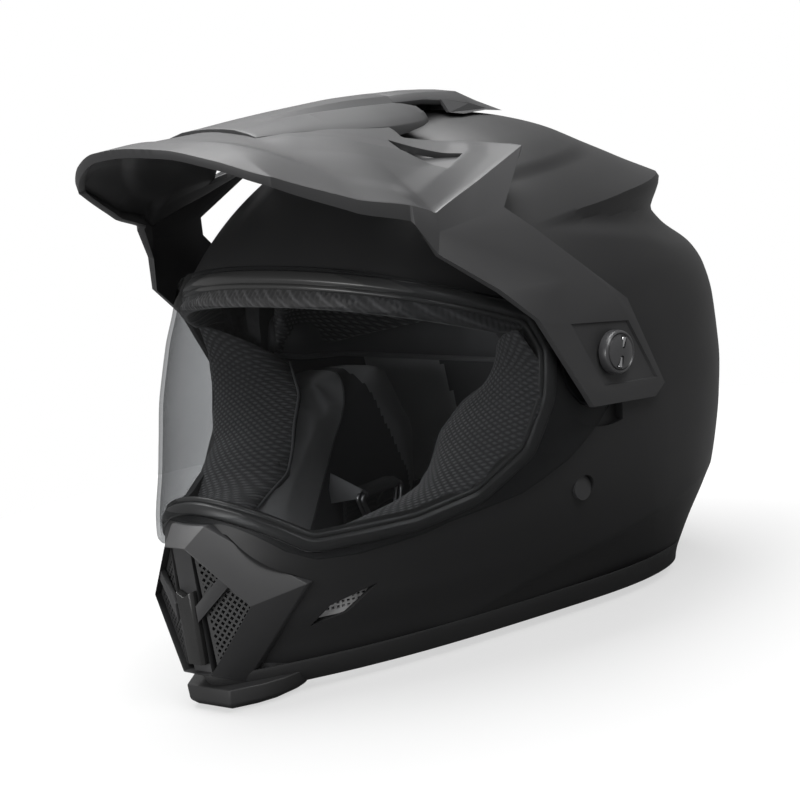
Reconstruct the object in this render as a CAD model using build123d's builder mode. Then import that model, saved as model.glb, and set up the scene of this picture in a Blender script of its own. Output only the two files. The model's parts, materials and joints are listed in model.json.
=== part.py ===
from build123d import *
import math
import os

# Dual sport helmet. Millimetres, +Z up, front at -Y, wearer's left at +X.
# Z = 0 is the surface it stands on, and X = 0 is its plane of symmetry.

os.makedirs("parts", exist_ok=True)

# Head form: the outer surface of the shell
base_height = 5.0
shell_height = 250.5
front_reach = 162.0
rear_reach = 169.0
half_width = 127.0
outline_steps = 16
shell_wall = 3.2
rim_lift = 2.0
running_gap = 0.3
layer_gap = 0.4
overrun = 60.0

# Shell levels: height, front, rear, width and widest-place shares, front and rear powers
shell_shares = [
    (0.00, 0.901, 0.722, 0.717, 0.391, 1.45, 2.10),
    (0.08, 0.963, 0.793, 0.795, 0.349, 1.45, 2.15),
    (0.16, 1.000, 0.870, 0.866, 0.308, 1.50, 2.20),
    (0.24, 1.000, 0.923, 0.921, 0.272, 1.60, 2.20),
    (0.32, 0.944, 0.964, 0.961, 0.237, 1.70, 2.20),
    (0.42, 0.877, 0.994, 0.992, 0.201, 1.80, 2.20),
    (0.52, 0.778, 1.000, 1.000, 0.178, 1.95, 2.20),
    (0.62, 0.673, 0.970, 0.976, 0.166, 2.05, 2.20),
    (0.72, 0.556, 0.911, 0.906, 0.166, 2.15, 2.10),
    (0.82, 0.414, 0.793, 0.772, 0.178, 2.10, 2.10),
    (0.90, 0.235, 0.639, 0.598, 0.189, 2.00, 2.00),
    (0.95, 0.049, 0.473, 0.378, 0.201, 2.00, 2.00),
    (0.975, -0.086, 0.343, 0.173, 0.207, 2.00, 2.00),
    (0.985, -0.160, 0.272, 0.071, 0.213, 2.00, 2.00),
]

# Linings
cheek_plan_shares = [
    (0.457, 0.407), (0.457, 0.0), (0.394, -0.247), (0.283, -0.494), (1.0, -0.494), (1.0, 0.407),
]
cheek_side_shares = [
    (-0.481, 0.228), (-0.432, 0.148), (-0.340, 0.072), (0.148, 0.060), (0.148, 0.128),
    (0.370, 0.140), (0.407, 0.300), (0.309, 0.451), (0.000, 0.475), (-0.173, 0.427),
    (-0.309, 0.347),
]
cheek_rounding = 3.0
foam_front = 22.0
foam_rear = 30.0
foam_side = 28.0
foam_top = 30.0
foam_split = 40.0
chin_foam = 16.0
chin_foam_bottom = 8.0
crown_pad_depth = 7.0
crown_pad_bottom = 128.0
brow_inset = 14.0
brow_depth = 9.0
roll_inset = 7.0
roll_depth = 20.0
roll_height = 24.0
roll_swell = 5.0
roll_shares = [(0.0, 1.0), (0.2, 0.3), (0.5, 0.0), (0.8, 0.3), (1.0, 1.0)]
roll_front = 42.0

# Eye port and its rubber gasket
gasket_lip = 6.5
gasket_proud = 1.6
gasket_depth = 6.0
port_rounding = 11.0
port_shares = [
    (-1.235, 0.423), (-0.944, 0.367), (-0.784, 0.2655), (-0.519, 0.2675), (-0.340, 0.291),
    (-0.185, 0.359), (-0.111, 0.459), (-0.086, 0.560), (-0.120, 0.640), (-0.519, 0.774),
    (-0.679, 0.806), (-1.235, 0.918),
]

# Shield pivots
pivot_y = 15.0
pivot_z = 135.0
pocket_radius = 36.0
pocket_floor = 120.3
boss_depth = 4.0
plate_radius = 27.0
plate_thickness = 1.6
hub_radius = 8.0
screw_radius = 3.0
screw_clearance = 0.3
nut_radius = 8.0
nut_thickness = 4.5
nut_seat = 0.3

# Face shield
shield_thickness = 2.2
shield_width = 126.0
shield_reach = 168.0
ear_radius = 21.0
shield_levels = [
    (0.24, 1.000, 0.924, 0.119, 1.60),
    (0.32, 0.964, 0.984, 0.095, 1.67),
    (0.38, 0.911, 1.000, 0.071, 1.75),
    (0.44, 0.860, 1.000, 0.036, 1.85),
    (0.52, 0.780, 1.000, -0.012, 2.00),
    (0.60, 0.708, 1.000, -0.012, 2.10),
    (0.66, 0.640, 0.992, 0.000, 2.20),
    (0.72, 0.568, 0.968, 0.024, 2.20),
    (0.82, 0.446, 0.924, 0.048, 2.20),
]
shield_edge_shares = [
    (-1.235, 0.363), (-0.920, 0.343), (-0.840, 0.280), (-0.784, 0.256), (-0.685, 0.252),
    (-0.519, 0.264), (-0.457, 0.276), (-0.247, 0.296), (-0.105, 0.336), (0.037, 0.400),
    (0.123, 0.440), (0.123, 0.590), (0.062, 0.610), (-0.111, 0.640), (-0.272, 0.688),
    (-0.395, 0.736), (-0.506, 0.780), (-0.568, 0.794), (-1.235, 0.858),
]

# Peak
peak_thickness = 3.4
peak_reach = 153.0
peak_height = 270.5
peak_half_width = 100.0
peak_front_radius = 111.9
deck_stations = [
    (-1.000, [(0.00, 1.000), (0.25, 0.993), (0.48, 0.965), (0.68, 0.917)]),
    (-0.837, [(0.00, 1.000), (0.25, 0.993), (0.50, 0.967), (0.73, 0.921)]),
    (-0.621, [(0.00, 0.996), (0.24, 0.987), (0.56, 0.946), (0.88, 0.861)]),
    (-0.399, [(0.00, 0.994), (0.26, 0.980), (0.64, 0.924), (1.03, 0.810)]),
    (-0.163, [(0.00, 0.991), (0.28, 0.969), (0.64, 0.908), (1.00, 0.843)]),
    (0.078, [(0.00, 0.987), (0.33, 0.935), (0.62, 0.906), (0.95, 0.876)]),
]
scoop_stations = [
    (0.052, [(0.00, 0.989), (0.16, 0.982), (0.34, 0.943)]),
    (0.327, [(0.00, 0.974), (0.16, 0.965), (0.28, 0.938)]),
    (0.523, [(0.00, 0.935), (0.12, 0.931), (0.22, 0.922)]),
]
window_shares = [(0.50, -0.222), (0.48, -0.157), (0.70, 0.013), (0.79, -0.118)]
arm_face_shares = [
    (0.955, 0.876), (1.000, 0.843), (1.045, 0.810), (1.150, 0.776), (1.210, 0.739),
    (1.255, 0.702), (1.290, 0.658), (1.310, 0.592), (1.320, 0.518), (1.320, 0.380),
]
arm_side_shares = [
    (-0.471, 0.7985), (-0.422, 0.741), (-0.319, 0.665), (-0.195, 0.597), (-0.031, 0.418),
    (0.261, 0.394), (0.314, 0.412), (0.201, 0.583), (-0.099, 0.749), (-0.149, 0.790),
    (0.072, 0.880), (-0.399, 0.828),
]
arm_recess_shares = [(-0.065, 0.572), (0.191, 0.544), (0.284, 0.426), (0.034, 0.446)]
recess_depth = 1.2
arm_boss_radius = 11.0
knob_radius = 10.5
knob_depth = 6.0
knob_edge = 2.0
slot_width = 1.8
slot_depth = 1.4
fit_gap = 0.05
thread_gap = 0.08

# Chin vent housing: corners of its rim, of its opening and of its back
vent_depth = 164.7
vent_height = 90.3
vent_half_width = 48.0
vent_back = 112.0
rim_top_shares = (0.240, 0.933, 1.000)
rim_side_shares = (1.000, 0.783, 0.637)
rim_low_shares = (0.292, 0.893, 0.135)
mouth_top_shares = (0.146, 1.000, 0.910)
mouth_side_shares = (0.719, 0.935, 0.587)
mouth_low_shares = (0.208, 1.000, 0.221)
rib_shares = [(0.134, 0.510), (0.134, 0.598), (0.427, 0.753), (0.513, 0.703)]
post_half_width = 6.2
post_front = 162.0
post_depth = 5.0
duct_share = 0.78
mesh_recess = 3.4
mesh_thickness = 1.0
mesh_border = 0.5
mesh_hole = 1.5
mesh_pitch = 2.6
rib_front = 0.5
rib_depth = 2.4
slider_half_width = 6.0
slider_low = 24.5
slider_top = 61.0
slider_depth = 4.0
slider_chamfer = 1.5

# Side vents in the chin bar
side_vent_shares = [(-0.765, 0.115), (-0.722, 0.152), (-0.605, 0.178), (-0.673, 0.130)]
side_vent_turn = 57.6
side_vent_tilt = 21.0
side_vent_x = 52.9
side_vent_y = 110.0
side_vent_z = 43.0
side_vent_sink = 4.6
side_mesh_length = 34.0
side_mesh_height = 18.0

# Base trim, chin undertray
trim_skirt = 12.0
trim_thickness = 2.0
trim_inner = 5.0
tray_front = 160.0
tray_back = 118.0
tray_half_width = 38.0
tray_nose = 14.0
tray_top = 11.7

# Chin strap
rivet_y = -1.0
rivet_z = 71.0
rivet_head = 6.0
rivet_head_depth = 2.2
rivet_radius = 2.5
rivet_seat = 110.6
rivet_rim = 2.5
rivet_tail = 4.0
rivet_tail_depth = 1.5
anchor_size = 14.0
anchor_thickness = 1.5
strap_width = 25.0
strap_thickness = 2.0
channel_margin = 3.0
channel_depth = 5.0
left_strap = [
    (100.4, 82.0), (100.4, 63.0), (91.5, 45.0), (80.0, 25.0), (70.5, 9.5), (46.0, 6.0), (16.0, 6.0),
]
right_strap = left_strap[:5] + [(54.0, 7.5), (46.5, 50.0), (43.0, 63.0), (33.0, 63.0)]
strap_bend = 4.0
loop_length = 9.0
loop_height = 5.4
loop_slot = 6.6
loop_bore = 3.0
loop_join = 0.8
ring_wire = 1.2
ring_drop = 14.0
ring_side = 1.5
ring_apart = 3.6
ring_bend = 2.4
ring_end_share = 0.7

# Forms that several pieces share


def level_points(row, front, rear, side):
    """Points of one level of the head form, from the rear round by -X."""
    _, front_share, rear_share, width_share, widest_share, front_power, rear_power = row
    widest = widest_share * rear_reach
    points = []
    for step in range(outline_steps):
        angle = math.pi / 2 + 2 * math.pi * step / outline_steps
        across, along = math.cos(angle), math.sin(angle)
        power = front_power if along < 0 else rear_power
        reach = widest + front_share * front if along < 0 else rear_share * rear - widest
        x = width_share * side * math.copysign(abs(across) ** (2 / power), across)
        y = widest + reach * math.copysign(abs(along) ** (2 / power), along)
        points.append((x, y))
    return points


def head_form(front_inset, rear_inset, side_inset, top_inset):
    """Closed solid of the head form, drawn in by an inset on each side."""
    with BuildPart() as form:
        for row in shell_shares:
            level = base_height + row[0] * (shell_height - top_inset)
            outline = level_points(
                row, front_reach - front_inset, rear_reach - rear_inset, half_width - side_inset
            )
            with BuildSketch(Plane.XY.offset(level)):
                with BuildLine():
                    Spline(*outline, periodic=True)
                make_face()
        loft()
    return form.part


def even_form(inset):
    """The head form drawn in alike all round."""
    return head_form(inset, inset, inset, inset)


def side_place(shares):
    """Places in the side view from shares of the front reach and the shell's height."""
    return [(y * front_reach, base_height + z * shell_height) for y, z in shares]


def side_prism(places, near, far, rounding=0.0, grow=0.0):
    """Side outline pushed out along X from near to far."""
    with BuildPart() as prism:
        with BuildSketch(Plane.YZ.offset(near)):
            with BuildLine():
                if rounding > 0:
                    FilletPolyline(*places, radius=rounding, close=True)
                else:
                    Polyline(*places, close=True)
            make_face()
            if grow != 0:
                offset(amount=grow, kind=Kind.INTERSECTION, mode=Mode.REPLACE)
        extrude(amount=far - near)
    return prism.part


def plan_prism(places, low, high):
    """Plan outline pushed up from low to high."""
    with BuildPart() as prism:
        with BuildSketch(Plane.XY.offset(low)):
            with BuildLine():
                Polyline(*places, close=True)
            make_face()
        extrude(amount=high - low)
    return prism.part


def front_prism(places, near, far):
    """Front outline, of X and Z, pushed out along Y from near to far."""
    with BuildPart() as prism:
        with BuildSketch(Plane.XZ.offset(-near)):
            with BuildLine():
                Polyline(*places, close=True)
            make_face()
        extrude(amount=-(far - near))
    return prism.part


def pivot_disc(side, radius, near, far, bore=0.0):
    """Disc on the shield pivot's axis, from near to far, on one side."""
    with BuildPart() as disc:
        with BuildSketch(Plane.YZ.offset(side * near)):
            with Locations((pivot_y, pivot_z)):
                Circle(radius)
                if bore > 0:
                    Circle(bore, mode=Mode.SUBTRACT)
        extrude(amount=side * (far - near))
    return disc.part


def rivet_disc(side, radius, near, far):
    """Disc on the strap rivet's axis, from near to far, on one side."""
    with BuildPart() as disc:
        with BuildSketch(Plane.YZ.offset(side * near)):
            with Locations((rivet_y, rivet_z)):
                Circle(radius)
        extrude(amount=side * (far - near))
    return disc.part


def facet_solid(points, facets):
    """Closed solid of flat facets between named corners."""
    faces = [Face(Wire.make_polygon([points[name] for name in facet])) for facet in facets]
    return Solid(Shell(faces))


def keep(part, name):
    """Name a finished piece and write it."""
    part.label = name
    export_step(part, f"parts/{name}.step")


sides = (("left", 1), ("right", -1))
wide = half_width + overrun
outside = even_form(0)
shell_inside = even_form(shell_wall)
port_places = side_place(port_shares)
port = side_prism(port_places, -wide, wide, port_rounding)
boss_face = pocket_floor - boss_depth
strap_face = left_strap[0][0] + strap_thickness / 2
anchor_face = strap_face + anchor_thickness + fit_gap

# Corners of the chin vent housing


def vent_corner(shares, side=1):
    """Place of a corner of the chin vent housing."""
    across, forward, up = shares
    return Vector(side * across * vent_half_width, -forward * vent_depth, up * vent_height)


mouth = [mouth_top_shares, mouth_side_shares, mouth_low_shares]
mouth_right_way = [(c[0] * vent_half_width, c[2] * vent_height) for c in mouth]
mouth_outline = mouth_right_way + [(-x, z) for x, z in reversed(mouth_right_way)]
mouth_middle = (mouth_top_shares[2] + mouth_low_shares[2]) / 2 * vent_height
duct_outline = [(x * duct_share, mouth_middle + (z - mouth_middle) * duct_share) for x, z in mouth_outline]
duct = front_prism(duct_outline, -front_reach - overrun, -foam_split - overrun)
with BuildPart() as vent_room:
    add(even_form(-running_gap))
    with BuildSketch(Plane.XZ.offset(foam_split)):
        with BuildLine():
            Polyline(*duct_outline, close=True)
        make_face()
        offset(amount=-running_gap, kind=Kind.INTERSECTION, mode=Mode.REPLACE)
    extrude(amount=front_reach + overrun, mode=Mode.SUBTRACT)
side_slots = [
    side_prism(side_place(side_vent_shares), side * (side_vent_x - overrun / 2), side * half_width)
    for _, side in sides
]


def vent_plane(side, depth):
    """Plane of one side vent, set in from the shell's surface by a depth."""
    turn, tilt = math.radians(side_vent_turn), math.radians(side_vent_tilt)
    level = math.cos(tilt)
    normal = Vector(side * level * math.sin(turn), -level * math.cos(turn), -math.sin(tilt))
    at = Vector(side * side_vent_x, -side_vent_y, side_vent_z) - normal * depth
    return Plane(origin=at, x_dir=(side * math.cos(turn), math.sin(turn), 0), z_dir=normal)


def vent_block(side, near, far, grow):
    """Flat block behind one side vent, between two depths."""
    with BuildPart() as block:
        with BuildSketch(vent_plane(side, far)):
            Rectangle(side_mesh_length + 2 * grow, side_mesh_height + 2 * grow)
        extrude(amount=far - near)
    return block.part


# Shell

with BuildPart() as outer_shell:
    add(outside)
    add(shell_inside, mode=Mode.SUBTRACT)
    for _, side in sides:
        add(pivot_disc(side, pocket_radius + shell_wall, boss_face, half_width).intersect(outside))
        add(pivot_disc(side, pocket_radius, pocket_floor, wide), mode=Mode.SUBTRACT)
        add(pivot_disc(side, screw_radius + screw_clearance, 0, wide), mode=Mode.SUBTRACT)
        add(rivet_disc(side, rivet_head + rivet_rim, anchor_face, half_width).intersect(outside))
        add(rivet_disc(side, rivet_head + running_gap, rivet_seat, wide), mode=Mode.SUBTRACT)
        add(rivet_disc(side, rivet_radius + fit_gap, 0, wide), mode=Mode.SUBTRACT)
    for slot in side_slots:
        add(slot, mode=Mode.SUBTRACT)
    add(duct, mode=Mode.SUBTRACT)
    add(port, mode=Mode.SUBTRACT)
    split(bisect_by=Plane.XY.offset(base_height + rim_lift), keep=Keep.TOP)
keep(outer_shell.part, "outer_shell")

with BuildPart() as eye_port_gasket:
    add(even_form(-gasket_proud))
    add(side_prism(port_places, -wide, wide, port_rounding, -running_gap), mode=Mode.INTERSECT)
    add(even_form(gasket_depth), mode=Mode.SUBTRACT)
    add(side_prism(port_places, -wide, wide, port_rounding, -gasket_lip), mode=Mode.SUBTRACT)
keep(eye_port_gasket.part, "eye_port_gasket")

with BuildPart() as shell_room:
    add(even_form(-running_gap))
    split(bisect_by=Plane.XY.offset(base_height + rim_lift - running_gap), keep=Keep.TOP)

with BuildPart() as trim_room:
    add(even_form(-2 * running_gap - trim_thickness))
    split(bisect_by=Plane.XY.offset(base_height + trim_skirt + running_gap), keep=Keep.BOTTOM)

with BuildPart() as base_trim:
    add(even_form(-running_gap - trim_thickness))
    split(bisect_by=Plane.XY.offset(base_height + trim_skirt), keep=Keep.BOTTOM)
    add(shell_room.part, mode=Mode.SUBTRACT)
    add(even_form(trim_inner), mode=Mode.SUBTRACT)
keep(base_trim.part, "base_trim")

# Foam liners

foam_gap = shell_wall + layer_gap
foam_bottom = roll_height + layer_gap
foam_outside = even_form(foam_gap)
pad_front = foam_gap + foam_front + layer_gap
pad_rear = foam_gap + foam_rear + layer_gap
pad_side = foam_gap + foam_side + layer_gap
pad_top = foam_gap + foam_top + layer_gap
port_room = side_prism(port_places, -wide, wide, port_rounding, layer_gap)
port_wide = side_prism(port_places, -wide, wide, port_rounding, brow_depth)
brow_places = [
    (-front_reach, port_places[-2][1] - brow_depth * 2),
    (port_places[-3][0], port_places[-3][1] - brow_depth * 2),
    (port_places[-4][0] + brow_depth, port_places[-4][1] - brow_depth * 2),
    (port_places[-4][0] + brow_depth * 2, port_places[-4][1]),
    (port_places[-3][0], port_places[-3][1] + brow_depth),
    (-front_reach, port_places[-2][1] + brow_depth * 2),
]


def channel(side):
    """Room in the foam for one strap on its way down the inside of the shell."""
    outer = [(side * wide, strap_top), (side * wide, 0)]
    inner = [(side * (x - channel_depth), z) for x, z in left_strap[:4]]
    low = rivet_y - strap_width / 2 - channel_margin
    high = rivet_y + strap_width / 2 + channel_margin
    top = [(side * (left_strap[0][0] - channel_depth), strap_top)]
    return front_prism(outer + inner[::-1] + top, low, high)


strap_top = left_strap[0][1] + channel_margin

with BuildPart() as brow_room:
    add(even_form(brow_inset - layer_gap))
    add(side_prism(brow_places, -wide, wide, 0, layer_gap), mode=Mode.INTERSECT)
    add(even_form(brow_inset + brow_depth + layer_gap), mode=Mode.SUBTRACT)

with BuildPart() as crown_foam:
    add(foam_outside)
    add(
        head_form(pad_front - layer_gap, pad_rear - layer_gap, pad_side - layer_gap, pad_top - layer_gap),
        mode=Mode.SUBTRACT,
    )
    for _, side in sides:
        boss_room = pocket_radius + shell_wall + layer_gap
        add(pivot_disc(side, boss_room, boss_face - layer_gap, wide), mode=Mode.SUBTRACT)
        nut_room = boss_face - nut_thickness * 2
        add(pivot_disc(side, nut_radius + layer_gap, nut_room, wide), mode=Mode.SUBTRACT)
        add(channel(side), mode=Mode.SUBTRACT)
    add(port_room, mode=Mode.SUBTRACT)
    add(brow_room.part, mode=Mode.SUBTRACT)
    split(bisect_by=Plane.XY.offset(foam_bottom), keep=Keep.TOP)
    with BuildSketch(Plane.YZ.offset(-wide)):
        with Locations((-foam_split - front_reach / 2, pivot_z / 2)):
            Rectangle(front_reach, pivot_z)
    extrude(amount=2 * wide, mode=Mode.SUBTRACT)
keep(crown_foam.part, "crown_foam_liner")

with BuildPart() as chin_foam_liner:
    add(foam_outside)
    add(even_form(foam_gap + chin_foam), mode=Mode.SUBTRACT)
    add(port_room, mode=Mode.SUBTRACT)
    split(bisect_by=Plane.XY.offset(chin_foam_bottom), keep=Keep.TOP)
    split(bisect_by=Plane.XY.offset(pivot_z / 2 + layer_gap), keep=Keep.BOTTOM)
    split(bisect_by=Plane.XZ.offset(foam_split + layer_gap), keep=Keep.TOP)
    add(duct, mode=Mode.SUBTRACT)
    for slot in side_slots:
        add(slot, mode=Mode.SUBTRACT)
    for _, side in sides:
        relief = side_vent_sink + mesh_thickness + layer_gap
        add(vent_block(side, 0, relief, layer_gap), mode=Mode.SUBTRACT)
keep(chin_foam_liner.part, "chin_foam_liner")

with BuildPart() as crown_pad:
    add(head_form(pad_front, pad_rear, pad_side, pad_top))
    pad_step = layer_gap + crown_pad_depth
    add(
        head_form(pad_front + pad_step, pad_rear + pad_step, pad_side + pad_step, pad_top + pad_step),
        mode=Mode.SUBTRACT,
    )
    add(port_wide, mode=Mode.SUBTRACT)
    add(brow_room.part, mode=Mode.SUBTRACT)
    split(bisect_by=Plane.XY.offset(crown_pad_bottom), keep=Keep.TOP)
keep(crown_pad.part, "crown_pad")

with BuildPart() as brow_pad:
    add(even_form(brow_inset))
    add(side_prism(brow_places, -wide, wide), mode=Mode.INTERSECT)
    add(even_form(brow_inset + brow_depth), mode=Mode.SUBTRACT)
keep(brow_pad.part, "brow_pad")

# Cheek pads and neck roll

pad_outside = head_form(pad_front, pad_rear, pad_side, pad_top)
cheek_places = side_place(cheek_side_shares)
cheek_low = base_height
cheek_high = base_height + shell_height / 2
for name, side in sides:
    with BuildPart() as cheek_pad:
        add(pad_outside)
        add(side_prism(cheek_places, 0, side * half_width, cheek_rounding), mode=Mode.INTERSECT)
        plan = [(side * x * half_width, y * front_reach) for x, y in cheek_plan_shares]
        add(plan_prism(plan, cheek_low, cheek_high), mode=Mode.INTERSECT)
    keep(cheek_pad.part, f"cheek_pad_{name}")


def roll_form(inset, swell):
    """Closed solid through the neck roll's levels, crowned by its swell."""
    with BuildPart() as form:
        for up, draw in roll_shares:
            step = inset + draw * swell
            outline = level_points(shell_shares[0], front_reach - step, rear_reach - step, half_width - step)
            with BuildSketch(Plane.XY.offset(up * roll_height)):
                with BuildLine():
                    Spline(*outline, periodic=True)
                make_face()
        loft()
    return form.part


with BuildPart() as neck_roll:
    add(roll_form(roll_inset, roll_swell))
    add(roll_form(roll_inset + roll_depth, -roll_swell), mode=Mode.SUBTRACT)
    split(bisect_by=Plane.XZ.offset(-roll_front), keep=Keep.BOTTOM)
keep(neck_roll.part, "neck_roll")

# Face shield

def shield_form(inset):
    """Closed solid of the shield's curve, drawn in by an inset."""
    with BuildPart() as form:
        for up, reach_share, width_share, widest_share, power in shield_levels:
            width = width_share * shield_width - inset
            middle = widest_share * rear_reach
            reach = middle + reach_share * shield_reach - inset
            back = pivot_y + pocket_radius
            half = []
            for step in range(outline_steps // 2 + 1):
                angle = math.pi * step / (outline_steps // 2)
                across, along = math.cos(angle), math.sin(angle)
                half.append(
                    (
                        width * math.copysign(abs(across) ** (2 / power), across),
                        middle - reach * abs(along) ** (2 / power),
                    )
                )
            with BuildSketch(Plane.XY.offset(base_height + up * shell_height)):
                with BuildLine():
                    Spline(*half, tangents=[(0, -1), (0, 1)])
                    Polyline(half[-1], (-width, back), (width, back), half[0])
                make_face()
        loft()
        split(bisect_by=Plane.YZ, keep=Keep.TOP)
        mirror(about=Plane.YZ)
    return form.part


with BuildPart() as shield_side:
    add(side_prism(side_place(shield_edge_shares), -wide, wide))
    for _, side in sides:
        add(pivot_disc(side, ear_radius, 0, wide))

with BuildPart() as face_shield:
    add(shield_form(0))
    add(shield_side.part, mode=Mode.INTERSECT)
    add(shield_form(shield_thickness), mode=Mode.SUBTRACT)
    for _, side in sides:
        add(pivot_disc(side, hub_radius + running_gap, 0, wide), mode=Mode.SUBTRACT)
keep(face_shield.part, "face_shield")

# Shield pivots: base plate with hub, screw, nut and knob

plate_face = pocket_floor + plate_thickness
hub_end = shield_width + running_gap
arm_outside = arm_face_shares[-2][0] * peak_half_width
arm_inside = arm_outside - peak_thickness
recess_floor = arm_outside - recess_depth
knob_start = recess_floor + running_gap
screw_end = recess_floor + knob_depth - knob_edge
nut_outer = boss_face - nut_seat
nut_inner = nut_outer - nut_thickness

for name, side in sides:
    with BuildPart() as shield_base_plate:
        add(pivot_disc(side, plate_radius, pocket_floor, plate_face, screw_radius + screw_clearance))
        add(pivot_disc(side, hub_radius, pocket_floor, hub_end, screw_radius + screw_clearance))
    keep(shield_base_plate.part, f"shield_base_plate_{name}")
    with BuildPart() as pivot_screw:
        add(pivot_disc(side, screw_radius, nut_inner, screw_end))
    keep(pivot_screw.part, f"pivot_screw_{name}")
    with BuildPart() as pivot_nut:
        with BuildSketch(Plane.YZ.offset(side * nut_inner)):
            with Locations((pivot_y, pivot_z)):
                RegularPolygon(nut_radius, 6)
                Circle(screw_radius + thread_gap, mode=Mode.SUBTRACT)
        extrude(amount=side * nut_thickness)
    keep(pivot_nut.part, f"pivot_nut_{name}")
    with BuildPart() as peak_knob:
        add(pivot_disc(side, knob_radius, knob_start, knob_start + knob_depth))
        fillet(peak_knob.edges().group_by(Axis.X)[-1 if side > 0 else 0], radius=knob_edge)
        add(pivot_disc(side, screw_radius + fit_gap, 0, screw_end + fit_gap), mode=Mode.SUBTRACT)
        with BuildSketch(Plane.YZ.offset(side * (knob_start + knob_depth - slot_depth))):
            with Locations((pivot_y, pivot_z)):
                Rectangle(2 * knob_radius, slot_width)
        extrude(amount=side * slot_depth, mode=Mode.SUBTRACT)
    keep(peak_knob.part, f"peak_knob_{name}")

# Peak: deck, scoop roof and arms in one moulding


def arched_loft(stations, thickness):
    """Ruled loft of thin arched profiles, from the front station to the rear one."""
    with BuildPart() as loft_part:
        for forward, profile in stations:
            top = [(x * peak_half_width, z * peak_height) for x, z in profile]
            upper = [(-x, z) for x, z in reversed(top[1:])] + top
            lower = [(x, z - thickness) for x, z in reversed(upper)]
            with BuildSketch(Plane.XZ.offset(-forward * peak_reach)):
                with BuildLine():
                    Polyline(*upper, *lower, close=True)
                make_face()
        loft(ruled=True)
    return loft_part.part


def peak_side(shares):
    """Places in the side view from shares of the peak's reach and height."""
    return [(y * peak_reach, z * peak_height) for y, z in shares]


with BuildPart() as peak_plan:
    with BuildSketch():
        with Locations((0, peak_front_radius - peak_reach)):
            Circle(peak_front_radius)
        with Locations((0, peak_front_radius - peak_reach / 2)):
            Rectangle(2 * peak_front_radius, peak_reach)
    extrude(amount=2 * peak_height)

with BuildPart() as peak:
    add(arched_loft(deck_stations, peak_thickness))
    add(peak_plan.part, mode=Mode.INTERSECT)
    for _, side in sides:
        window = [(side * x * peak_half_width, y * peak_reach) for x, y in window_shares]
        add(plan_prism(window, 0, 2 * peak_height), mode=Mode.SUBTRACT)
    add(arched_loft(scoop_stations, peak_thickness))
    arm_side = peak_side(arm_side_shares)
    recess_side = peak_side(arm_recess_shares)
    for _, side in sides:
        face = [(side * x * peak_half_width, z * peak_height) for x, z in arm_face_shares]
        back = [(x - side * peak_thickness, z) for x, z in reversed(face)]
        arm = side_prism(arm_side, 0, side * wide)
        add(front_prism(face + back, -peak_reach, peak_reach).intersect(arm))
        add(pivot_disc(side, arm_boss_radius, hub_end + running_gap, arm_inside))
        add(side_prism(recess_side, side * recess_floor, side * wide), mode=Mode.SUBTRACT)
        add(pivot_disc(side, screw_radius + screw_clearance, 0, wide), mode=Mode.SUBTRACT)
keep(peak.part, "peak")

# Chin vent housing with its mesh panels and slider


corner_shares = {
    "rim_top": rim_top_shares,
    "rim_side": rim_side_shares,
    "rim_low": rim_low_shares,
    "mouth_top": mouth_top_shares,
    "mouth_side": mouth_side_shares,
    "mouth_low": mouth_low_shares,
}
corners = {}
for tag, mirror_side in (("l", 1), ("r", -1)):
    for corner, shares in corner_shares.items():
        corners[f"{corner}_{tag}"] = vent_corner(shares, mirror_side)
    for corner in ("rim_top", "rim_side", "rim_low"):
        at = vent_corner(corner_shares[corner], mirror_side)
        corners[f"{corner}_back_{tag}"] = Vector(at.X, -vent_back, at.Z)
half_facets = [
    ("rim_top", "rim_side", "mouth_side"),
    ("rim_top", "mouth_side", "mouth_top"),
    ("rim_side", "rim_low", "mouth_low"),
    ("rim_side", "mouth_low", "mouth_side"),
    ("mouth_top", "mouth_side", "mouth_low"),
    ("rim_top", "rim_side", "rim_side_back", "rim_top_back"),
    ("rim_side", "rim_low", "rim_low_back", "rim_side_back"),
]
facets = [[f"{name}_{tag}" for name in facet] for facet in half_facets for tag in ("l", "r")]
for upper, lower in (
    ("rim_top", "mouth_top"),
    ("rim_low", "mouth_low"),
    ("mouth_top", "mouth_low"),
    ("rim_top", "rim_top_back"),
    ("rim_low", "rim_low_back"),
):
    facets.append([f"{upper}_l", f"{upper}_r", f"{lower}_r", f"{lower}_l"])
back_names = ("rim_top_back", "rim_side_back", "rim_low_back")
facets.append([f"{name}_l" for name in back_names] + [f"{name}_r" for name in reversed(back_names)])


def mouth_plane(side, depth):
    """Plane of one half of the mouth, set back by a depth."""
    top, middle, low = (vent_corner(shares, side) for shares in mouth)
    normal = (top - low).cross(middle - low).normalized()
    if normal.Y > 0:
        normal = normal * -1
    return Plane(origin=low - normal * depth, x_dir=middle - low, z_dir=normal)


def flat_places(plane, places):
    """Where points of the front view fall on a slanted plane, in its own axes."""
    found = []
    for x, z in places:
        normal = plane.z_dir
        y = plane.origin.Y - (normal.X * (x - plane.origin.X) + normal.Z * (z - plane.origin.Z)) / normal.Y
        local = plane.to_local_coords(Vector(x, y, z))
        found.append((local.X, local.Y))
    return found


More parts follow.
